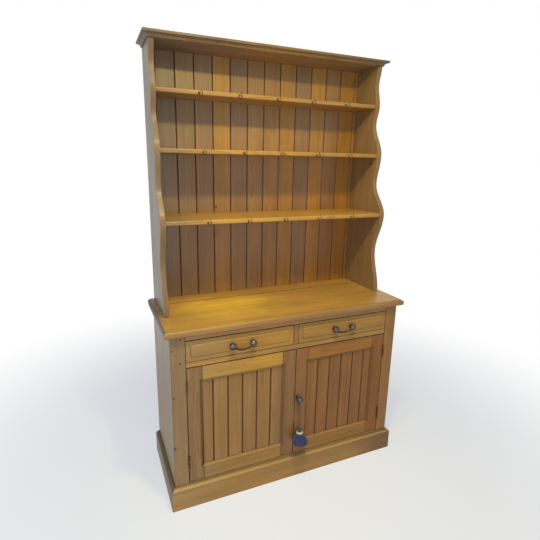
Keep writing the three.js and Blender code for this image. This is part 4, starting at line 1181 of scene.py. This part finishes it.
def skirt_tree():
    tree, given, result = geometry_tree(
        "skirt_strands",
        [("Strands", "Int"), ("Strand radius", "Float"), ("Shoulder", "Float"), ("Rim", "Float"),
         ("Drop", "Float"), ("Material", "Material")],
    )
    bend = times(tree, given["Drop"], STRAND_BEND)

    def handle(radius, out, down):
        return point_node(tree, times(tree, radius, out), z=times(tree, bend, down))

    line = {
        "Resolution": STRAND_POINTS,
        "Start": point_node(tree, given["Shoulder"]),
        "Start Handle": handle(given["Shoulder"], *UPPER_HANDLE),
        "End Handle": handle(given["Rim"], *LOWER_HANDLE),
        "End": point_node(tree, given["Rim"], z=times(tree, given["Drop"], -1.0)),
    }
    line = add_node(tree, "GeometryNodeCurvePrimitiveBezierSegment", line, mode="POSITION").outputs[0]
    circle = {"Resolution": STRAND_SIDES, "Radius": given["Strand radius"]}
    circle = add_node(tree, "GeometryNodeCurvePrimitiveCircle", circle).outputs[0]
    tube = {"Curve": line, "Profile Curve": circle, "Fill Caps": True}
    tube = add_node(tree, "GeometryNodeCurveToMesh", tube).outputs[0]
    points = {"Count": given["Strands"], "Offset": (0.0, 0.0, 0.0)}
    points = add_node(tree, "GeometryNodeMeshLine", points).outputs[0]
    step = times(tree, add_node(tree, "GeometryNodeInputIndex").outputs[0], GOLDEN_TURN)
    turn = point_node(tree, y=random_node(tree, -STRAND_JITTER, STRAND_JITTER, seed=5), z=step)
    size = random_node(tree, SHORTEST_STRAND, LONGEST_STRAND, seed=9)
    copies = {"Points": points, "Instance": tube, "Rotation": turn, "Scale": size}
    return scattered(tree, copies, given["Material"], result)


strand_sizes = {
    "Strands": STRAND_COUNT,
    "Strand radius": STRAND_RADIUS,
    "Shoulder": STRAND_STARTS_AT,
    "Rim": SKIRT_RADIUS - STRAND_RADIUS,
    "Drop": SKIRT_HEIGHT + HEM_HEIGHT * HEM_SHARE,
    "Material": NAVY_YARN,
}
skirt = grown("tassel_skirt", bpy.data.meshes.new("skirt_start"), skirt_tree(), strand_sizes)
skirt.transform(hang @ Matrix.Translation((0, 0, skirt_top + STRAND_TUCK)))
print(STRAND_COUNT, "strands,", len(skirt.polygons), "faces")

# %% [markdown]
# ## Head, binding and core
# The head is turned as nearly a ball. The binding is a barrel with five rows of thread, so its profile goes
# in and out five times. Both cords ride on the tassel's body.

# %% Head, binding and core of the tassel
BINDING_ROWS = 5
BARREL_BULGE = 0.22
THREAD_DEPTH = 0.9 * MM
THREAD_STEPS = 6
HEAD_STEPS = 16
HEAD_FROM = math.radians(25)
HEAD_SWEEP = math.radians(155)
INNER_SHARE = 0.6
TASSEL_BODY = "hanging_tassel"
TASSEL_SLOT = "navy_yarn"
ORIGIN = Vector((0, 0, 0))
UP = Vector((0, 0, 1))


def bound_profile(radius, low, high, rows, depth):
    """A bound stretch: rows of thread side by side bulge out of a barrel shape."""
    profile = [(radius * INNER_SHARE, low)]
    steps = rows * THREAD_STEPS
    for i in range(steps + 1):
        way = i / steps
        barrel = radius - (high - low) * BARREL_BULGE * (2 * way - 1) ** 2
        thread = depth * abs(math.sin(math.pi * rows * way))
        profile.append((barrel + thread - depth, low + (high - low) * way))
    profile.append((radius * INNER_SHARE, high))
    return profile


head_profile = [(HEAD_RADIUS * 0.7, head_low)]
for i in range(HEAD_STEPS + 1):
    angle = HEAD_FROM + HEAD_SWEEP * i / HEAD_STEPS
    head_profile.append((HEAD_RADIUS * math.sin(angle), head_low + HEAD_HEIGHT * (1 - math.cos(angle)) / 2))
core_profile = [
    (SKIRT_RADIUS * 0.72, skirt_top - SKIRT_HEIGHT * 0.97),
    (SKIRT_RADIUS * 0.82, skirt_top - SKIRT_HEIGHT * 0.93),
    (SHOULDER_RADIUS * 0.75, skirt_top - SKIRT_HEIGHT * 0.2),
    (BINDING_RADIUS * 0.7, skirt_top + 1 * MM),
]
binding_profile = bound_profile(BINDING_RADIUS, skirt_top, head_low, BINDING_ROWS, THREAD_DEPTH)
tassel_pieces = [dressed("tassel_skirt", skirt, TASSEL_BODY, TASSEL_SLOT, "tassel")]
for name, profile, material in (
    ("tassel_head", head_profile, HEAD_YARN),
    ("tassel_binding", binding_profile, BINDING_YARN),
    ("tassel_core", core_profile, NAVY_YARN),
):
    mesh = turned_piece(name, ORIGIN, UP, profile, material)
    mesh.transform(hang)
    tassel_pieces.append(dressed(name, mesh, TASSEL_BODY, TASSEL_SLOT))
for piece in (cord_long, cord_short):
    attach(piece, TASSEL_BODY)
    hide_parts("tassel_cord")
print(len(tassel_pieces), "pieces of yarn on two cords")

# %% [markdown]
# ## Drop handles
# Each handle is a bail that swings between two round posts. The posts are turned, with a small flange that
# sits on the drawer, and the bail is a tapered rod, bent in half an ellipse, thick in the middle and thin
# where it enters the posts. The pivots come from the joints of the frame, so the handles hang exactly where
# the drawers need them.

# %% Handles
POST_SPACING = 96 * MM
BALL_RADIUS = 11.5 * MM
POST_NECK_RADIUS = 4.5 * MM
POST_ROOT = 3 * MM
FLANGE_RADIUS = 8 * MM
FLANGE_THICKNESS = 2 * MM
BAIL_STEPS = 48
BAIL_DROP = 20 * MM
BAIL_ENTRY = 5 * MM
BAIL_END_RADIUS = 3.2 * MM
BAIL_MIDDLE_RADIUS = 4.8 * MM
OUT = Vector((0, -1, 0))


def post_profile(reach):
    """A root in the drawer, a rounded flange, a neck and a ball whose centre lies at the given reach."""
    return [
        (2 * MM, -POST_ROOT),
        (FLANGE_RADIUS - 1 * MM, 0),
        (FLANGE_RADIUS, 0.4 * MM),
        (FLANGE_RADIUS, 1.2 * MM),
        (FLANGE_RADIUS - 1 * MM, FLANGE_THICKNESS),
        (POST_NECK_RADIUS + 1.2 * MM, FLANGE_THICKNESS + 0.4 * MM),
        (POST_NECK_RADIUS, 3.6 * MM),
        *ball(BALL_RADIUS, reach, POST_NECK_RADIUS)[1:],
    ]


def bail_path(half_span):
    """Half an ellipse that hangs from one post to the other."""
    angles = [math.pi * (i / BAIL_STEPS - 0.5) for i in range(BAIL_STEPS + 1)]
    return [Vector((half_span * math.sin(a), 0, -BAIL_DROP * math.cos(a))) for a in angles]


def bail_radius(share):
    """share is 0 in the middle of the bail and 1 at its ends."""
    return BAIL_END_RADIUS + (BAIL_MIDDLE_RADIUS - BAIL_END_RADIUS) * (1 - share)


def drop_handle(side):
    pivot = Vector(joints[f"bail_{side}_swing"]["pos_m"])
    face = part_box(f"drawer_{side}_front")[0][1]
    profile = post_profile(face - pivot.y)
    for hand, name in ((-1, "left"), (1, "right")):
        foot = Vector((pivot.x + hand * POST_SPACING / 2, face, pivot.z))
        mesh = turned_piece(f"handle_{side}_{name}", foot, OUT, profile, PEWTER)
        node = f"drawer_{side}_post_{name}"
        dressed(f"handle_{side}_post_{name}", mesh, f"drawer_{side}", "pewter", node)
    half_span = POST_SPACING / 2 - BALL_RADIUS + BAIL_ENTRY
    path = bail_path(half_span)
    radii = [bail_radius(abs(point.x) / half_span) for point in path]
    mesh = wire(f"bail_{side}", [pivot + point for point in path], radii, BAIL_METAL)
    dressed(f"handle_{side}_bail", mesh, f"bail_{side}", "pewter", f"drawer_{side}_bail")
    print(side, "handle hangs at", [round(value, 3) for value in pivot])


for side in ("left", "right"):
    drop_handle(side)

# %% [markdown]
# ## The turn knob
# The knob on the right door turns a flat tongue behind the left one. Its round rose lies on the stile, with a
# rounded rim and a low step up to the neck of the knob, which carries the cord of the tassel.

# %% Turn knob
KNOB_RADIUS = 11.5 * MM
KNOB_REACH = 26 * MM
ROSE_RADIUS = 13 * MM
ROSE_THICKNESS = 3 * MM
SPINDLE_RADIUS = 4 * MM
HUB_RADIUS = 9 * MM
TONGUE_WIDTH = 14 * MM
TONGUE_REACH = 42 * MM
TONGUE_THICKNESS = 4 * MM
TONGUE_PLAY = 0.2 * MM
TIP_STEPS = 12

turn_axis = Vector(joints["latch_turn"]["pos_m"])
hub_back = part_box("latch_knob")[1][1]
hub_depth = hub_back - door_face


def rounded_plate(name, outline, front, back, material):
    """A flat plate standing upright: outline is a list of (x, z), between two places along Y."""
    rings = [[Vector((x, y, z)) for x, z in outline] for y in (front, back)]
    return ringed(name, rings, material)


def tongue_outline():
    """A strip that stands up from the hub, with a round tip."""
    half = TONGUE_WIDTH / 2
    centre = turn_axis.z + TONGUE_REACH - half
    angles = [math.pi * i / TIP_STEPS for i in range(TIP_STEPS + 1)]
    tip = [(turn_axis.x + half * math.cos(a), centre + half * math.sin(a)) for a in angles]
    return tip + [(turn_axis.x - half, turn_axis.z), (turn_axis.x + half, turn_axis.z)]


knob_profile = [
    (0, -hub_depth),
    (HUB_RADIUS, -hub_depth),
    (HUB_RADIUS, TONGUE_THICKNESS - hub_depth),
    (SPINDLE_RADIUS, TONGUE_THICKNESS - hub_depth),
    (SPINDLE_RADIUS, SEAM),
    (ROSE_RADIUS - 0.6 * MM, SEAM),
    (ROSE_RADIUS, SEAM + 0.6 * MM),
    (ROSE_RADIUS - 0.4 * MM, 1.6 * MM),
    (ROSE_RADIUS - 2.6 * MM, 2.2 * MM),
    (ROSE_RADIUS - 4 * MM, ROSE_THICKNESS),
    (NECK_RADIUS + 1.4 * MM, ROSE_THICKNESS + SEAM),
    (NECK_RADIUS, ROSE_THICKNESS + 1.6 * MM),
    *ball(KNOB_RADIUS, KNOB_REACH, NECK_RADIUS)[1:],
]
knob = turned_piece("knob", Vector((turn_axis.x, door_face, turn_axis.z)), OUT, knob_profile, PEWTER)
tongue_front = hub_back - TONGUE_THICKNESS + TONGUE_PLAY
tongue = rounded_plate("tongue", tongue_outline(), tongue_front, hub_back - TONGUE_PLAY, IRON)
dressed("turn_knob", merged("turn_knob", knob, tongue), "latch", "pewter", "latch_knob")
print("the knob stands out", round((KNOB_REACH + KNOB_RADIUS) / MM, 1), "mm")

# %% [markdown]
# ## Hinges
# A butt hinge shows as a slim knuckle between the door and its stile. The knuckle is a row of short tubes on
# a pin with a small button at each end, so its profile has a fine groove between the tubes. One leaf lies on
# the stile with the knuckle, and the other on the door, so that leaf rides with the door.

# %% Hinges
KNUCKLE_RADIUS = 4 * MM
KNUCKLE_TUBES = 5
KNUCKLE_SIDES = 24
TUBE_GROOVE = 0.05 * MM
TUBE_ROUND = 0.5 * MM
LEAF_THICKNESS = 1.6 * MM
LEAF_DEPTH = 18 * MM
LEAF_ROOM = 0.3 * MM
DOOR_LEAF_THICKNESS = 0.25 * MM


def knuckle_profile(length):
    tube = length / KNUCKLE_TUBES
    waist = KNUCKLE_RADIUS * 0.86
    button = KNUCKLE_RADIUS * 0.6
    profile = [(0, 0), (button, 0)]
    for i in range(KNUCKLE_TUBES):
        low, high = tube * i, tube * (i + 1)
        profile += [(waist, low + TUBE_GROOVE), (KNUCKLE_RADIUS, low + TUBE_ROUND)]
        profile += [(KNUCKLE_RADIUS, high - TUBE_ROUND), (waist, high - TUBE_GROOVE)]
    return profile + [(button, length), (0, length)]


def leaf_mesh(name, xs, front, back, bottom, top):
    left, right = sorted(xs)
    outline = [(left, bottom), (right, bottom), (right, top), (left, top)]
    return rounded_plate(name, outline, front, back, IRON)


for side, hand in (("left", -1), ("right", 1)):
    pivot = Vector(joints[f"door_{side}_hinge"]["pos_m"])
    inner, outer = (1, 0) if side == "left" else (0, 1)
    stile_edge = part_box(f"front_stile_{side}")[inner][0] - hand * LEAF_ROOM
    door_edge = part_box(f"door_{side}_hinge_stile")[outer][0]
    for place in ("top", "bottom"):
        node = f"hinge_{side}_{place}"
        low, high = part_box(node)
        foot = Vector((pivot.x, pivot.y, low[2]))
        knuckle = turned_piece(node, foot, UP, knuckle_profile(high[2] - low[2]), IRON, KNUCKLE_SIDES)
        leaf_xs = (stile_edge, stile_edge - hand * LEAF_THICKNESS)
        leaf = leaf_mesh(node, leaf_xs, pivot.y, high[1], low[2], high[2])
        dressed(f"{node}_knuckle", merged(node, knuckle, leaf), "cabinet", "pewter", node)
        plate_xs = (door_edge, door_edge + hand * DOOR_LEAF_THICKNESS)
        plate = leaf_mesh(node, plate_xs, door_face, door_face + LEAF_DEPTH, low[2], high[2])
        dressed(f"{node}_door_leaf", plate, f"door_{side}", "pewter")
    print(side, "hinges turn about x", round(pivot.x, 3))

# %% [markdown]
# ## Cup hooks
# Five small hooks are screwed into the edge of each shelf, a little below its middle and never quite in line
# with those above. One hook is a wire bent in a J on a round collar. Geometry Nodes put the same hook on
# every point of a list, with a small turn of its own, as a hand leaves them.

# %% Cup hooks by Geometry Nodes
HOOK_COLUMNS = {
    "bottom": (-370, -180, 1, 186, 376),
    "middle": (-370, -181, 4, 195, 380),
    "top": (-372, -188, 1, 184, 376),
}
HOOK_SINK = 3 * MM
HOOK_ROOT = 0.5 * MM
HOOK_BEND_RADIUS = 8 * MM
HOOK_BEND_STEPS = 24
HOOK_BEND_FROM = 12
HOOK_BEND_SWEEP = 198
HOOK_DIP = 2 * MM
HOOK_TIP_SHARE = 0.7
HOOK_WIRE_RADIUS = 1.7 * MM
HOOK_WIRE_SIDES = 10
HOOK_SHANK = 3 * MM
HOOK_TIP = 16 * MM
HOOK_TURN = math.radians(38)
HOOK_SWING = math.radians(14)
COLLAR_SIDES = 20
COLLAR_PROFILE = [
    (3.8 * MM, 0), (4.8 * MM, 0.3 * MM), (4.8 * MM, 1.0 * MM), (2.6 * MM, 2.2 * MM), (1.6 * MM, 3.2 * MM),
]


def hook_shape():
    """One hook at the origin: its shank points out along -Y, dips in a half round bend and turns up."""
    path = [Vector((0, y, 0)) for y in (HOOK_ROOT, -HOOK_SHANK / 2, -HOOK_SHANK)]
    centre = Vector((0, -HOOK_SHANK - HOOK_BEND_RADIUS, -HOOK_DIP))
    for i in range(HOOK_BEND_STEPS + 1):
        angle = math.radians(HOOK_BEND_FROM + HOOK_BEND_SWEEP * i / HOOK_BEND_STEPS)
        path.append(centre + Vector((0, math.cos(angle), -math.sin(angle))) * HOOK_BEND_RADIUS)
    tip_way = (path[-1] - path[-2]).normalized()
    path.append(path[-1] + tip_way * HOOK_TIP)
    radii = [HOOK_WIRE_RADIUS] * (len(path) - 1) + [HOOK_WIRE_RADIUS * HOOK_TIP_SHARE]
    bent = wire("hook_wire", path, radii, HOOK_METAL, HOOK_WIRE_SIDES)
    collar = turned_piece("hook_collar", ORIGIN, OUT, COLLAR_PROFILE, HOOK_METAL, COLLAR_SIDES)
    return merged("hook", bent, collar)


def hook_tree():
    tree, given, result = geometry_tree(
        "cup_hooks", [("Hook", "Object"), ("Turn", "Float"), ("Swing", "Float"), ("Material", "Material")]
    )
    hook = add_node(tree, "GeometryNodeObjectInfo", {"Object": given["Hook"]}).outputs["Geometry"]
    swing = random_node(tree, times(tree, given["Swing"], -1.0), given["Swing"], seed=3)
    turn = point_node(tree, z=plus(tree, given["Turn"], swing))
    copies = {"Points": given["Geometry"], "Instance": hook, "Rotation": turn}
    return scattered(tree, copies, given["Material"], result)


hook_points = []
for level, columns in HOOK_COLUMNS.items():
    low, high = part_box(f"rack_shelf_{level}")
    hook_points += [(x * MM, low[1], (low[2] + high[2]) / 2 - HOOK_SINK) for x in columns]
point_mesh = bpy.data.meshes.new("hook_points")
point_mesh.from_pydata(hook_points, [], [])
hook_template = linked("hook_template", hook_shape())
hook_values = {"Hook": hook_template, "Turn": HOOK_TURN, "Swing": HOOK_SWING, "Material": HOOK_METAL}
hooks = grown("cup_hooks", point_mesh, hook_tree(), hook_values)
bpy.data.objects.remove(hook_template)
dressed("cup_hooks", hooks, "cabinet", "pewter")
print(len(hook_points), "hooks")

# %% [markdown]
# ## Stopped nail holes
# The face frame is pinned, and each pin hole is stopped with dark wax, and so is a hole at the end of the
# plate groove. A flat disc a fifth of a millimetre proud of the wood is enough.

# %% Wax stops
WAX_STOPS = ((-539, 826), (-577, 779), (-545, 717), (-577, 560), (560, 700), (572, 470))
WORKTOP_STOP = (-518, 129)
STOP_RADIUS = 3.2 * MM
STOP_SIDES = 14
WAX_CLOUDS = 700.0
STOP_PROFILE = [
    (STOP_RADIUS, -0.4 * MM), (STOP_RADIUS, 0.05 * MM), (STOP_RADIUS * 0.7, 0.2 * MM), (0, 0.22 * MM),
]


def wax_finish():
    material, tree, surface = new_material("wax_stopping")
    clouds = noise_node(tree, object_place(tree), WAX_CLOUDS)
    base = mixed(tree, clouds, colour(70, 46, 30), colour(104, 74, 50))
    set_surface(tree, surface, Base_Color=base, Roughness=0.6)
    return material


WAX = wax_finish()
frame_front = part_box("front_stile_left")[0][1]
worktop_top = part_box("worktop")[1][2]
stop_places = [(Vector((x * MM, frame_front, z * MM)), OUT) for x, z in WAX_STOPS]
stop_places.append((Vector((WORKTOP_STOP[0] * MM, WORKTOP_STOP[1] * MM, worktop_top)), UP))
stops = [turned_piece("wax_stop", place, way, STOP_PROFILE, WAX, STOP_SIDES) for place, way in stop_places]
dressed("wax_stops", merged("wax_stops", *stops), "cabinet", "pine_dark")
print(len(stops), "wax stops")

# %% [markdown]
# ## Floor and surroundings
# The dresser stands on a plain pale floor. The floor still takes the shadow near the dresser, and turns to
# plain white farther off, for the camera and for reflections only, so that no light is added by it. The
# surroundings are white to the camera in the same way, and give a dim, even light.

# %% Stage
WHITE = (1.0, 1.0, 1.0, 1.0)
FLOOR_GREY = (0.86, 0.86, 0.86, 1.0)
FLOOR_WHITE = 0.55
SHADOW_REACH = 0.9
WHITE_FROM = 2.6
FLOOR_HALF = 12.0
AMBIENT_LIGHT = (0.155, 0.205, 0.30, 1.0)


def seen_directly(tree):
    """1 for the rays of the camera, of reflections and of glass, and 0 for the rays that carry light."""
    rays = add_node(tree, "ShaderNodeLightPath").outputs
    seen = math_node(tree, "MAXIMUM", rays["Is Camera Ray"], rays["Is Glossy Ray"])
    return math_node(tree, "MAXIMUM", seen, rays["Is Transmission Ray"])


def stage_finish():
    material, tree, surface = new_material("pale_floor")
    set_surface(tree, surface, Base_Color=FLOOR_GREY, Roughness=1.0, Specular_IOR_Level=0.0)
    away = vector_node(tree, "LENGTH", object_place(tree), output="Value")
    share = times(tree, seen_directly(tree), spread(tree, away, SHADOW_REACH, WHITE_FROM, FLOOR_WHITE, 1.0))
    white = add_node(tree, "ShaderNodeEmission", {"Color": WHITE, "Strength": 1.0}).outputs[0]
    blend = add_node(tree, "ShaderNodeMixShader", {0: share, 1: surface.outputs[0], 2: white}).outputs[0]
    tree.links.new(blend, tree.nodes["Material Output"].inputs["Surface"])
    return material


floor_mesh = bpy.data.meshes.new("floor")
corner_signs = ((-1, -1), (1, -1), (1, 1), (-1, 1))
floor_mesh.from_pydata([(x * FLOOR_HALF, y * FLOOR_HALF, 0) for x, y in corner_signs], [], [(0, 1, 2, 3)])
floor_mesh.materials.append(stage_finish())
linked("floor", floor_mesh)

scene.world = bpy.data.worlds.new("studio")
scene.world.use_nodes = True
sky = scene.world.node_tree
background = sky.nodes["Background"]
sky.links.new(mixed(sky, seen_directly(sky), AMBIENT_LIGHT, WHITE), background.inputs["Color"])
background.inputs["Strength"].default_value = 1.0
print("a floor of", 2 * FLOOR_HALF, "m under a white studio")

# %% [markdown]
# ## Lights
# One lamp hangs high in front, small enough for the shelves to cast their bands of shadow on the boards
# behind, and broad soft lights fill the rest. Each row is a light's name, its place, the point that it looks
# at, its width, its power and its tint.

# %% Lights
LIGHTS = (
    ("ceiling_lamp", (-0.22, -0.87, 2.42), (-0.22, -0.8, 0.0), 0.16, 16.0, (1.0, 0.85, 0.28)),
    ("ceiling", (-0.6, -1.2, 3.0), (-0.3, -0.4, 0.6), 1.2, 17.0, (0.94, 0.98, 1.0)),
    ("front_fill", (-0.7, -2.8, 1.0), (-0.1, 0.0, 0.6), 1.8, 12.5, (1.0, 0.90, 0.70)),
    ("left_window", (-2.3, -1.3, 1.3), (-0.6, 0.0, 0.9), 1.0, 12.0, (0.40, 0.66, 1.0)),
)

for name, place, target, size, power, tint in LIGHTS:
    light = bpy.data.lights.new(name, "AREA")
    light.shape = "DISK"
    light.size = size
    light.energy = power
    light.color = tint
    lamp = linked(name, light)
    lamp.location = place
    lamp.rotation_euler = (Vector(target) - Vector(place)).to_track_quat("-Z", "Y").to_euler()

scene.view_settings.view_transform = "Standard"
print(len(LIGHTS), "lights")
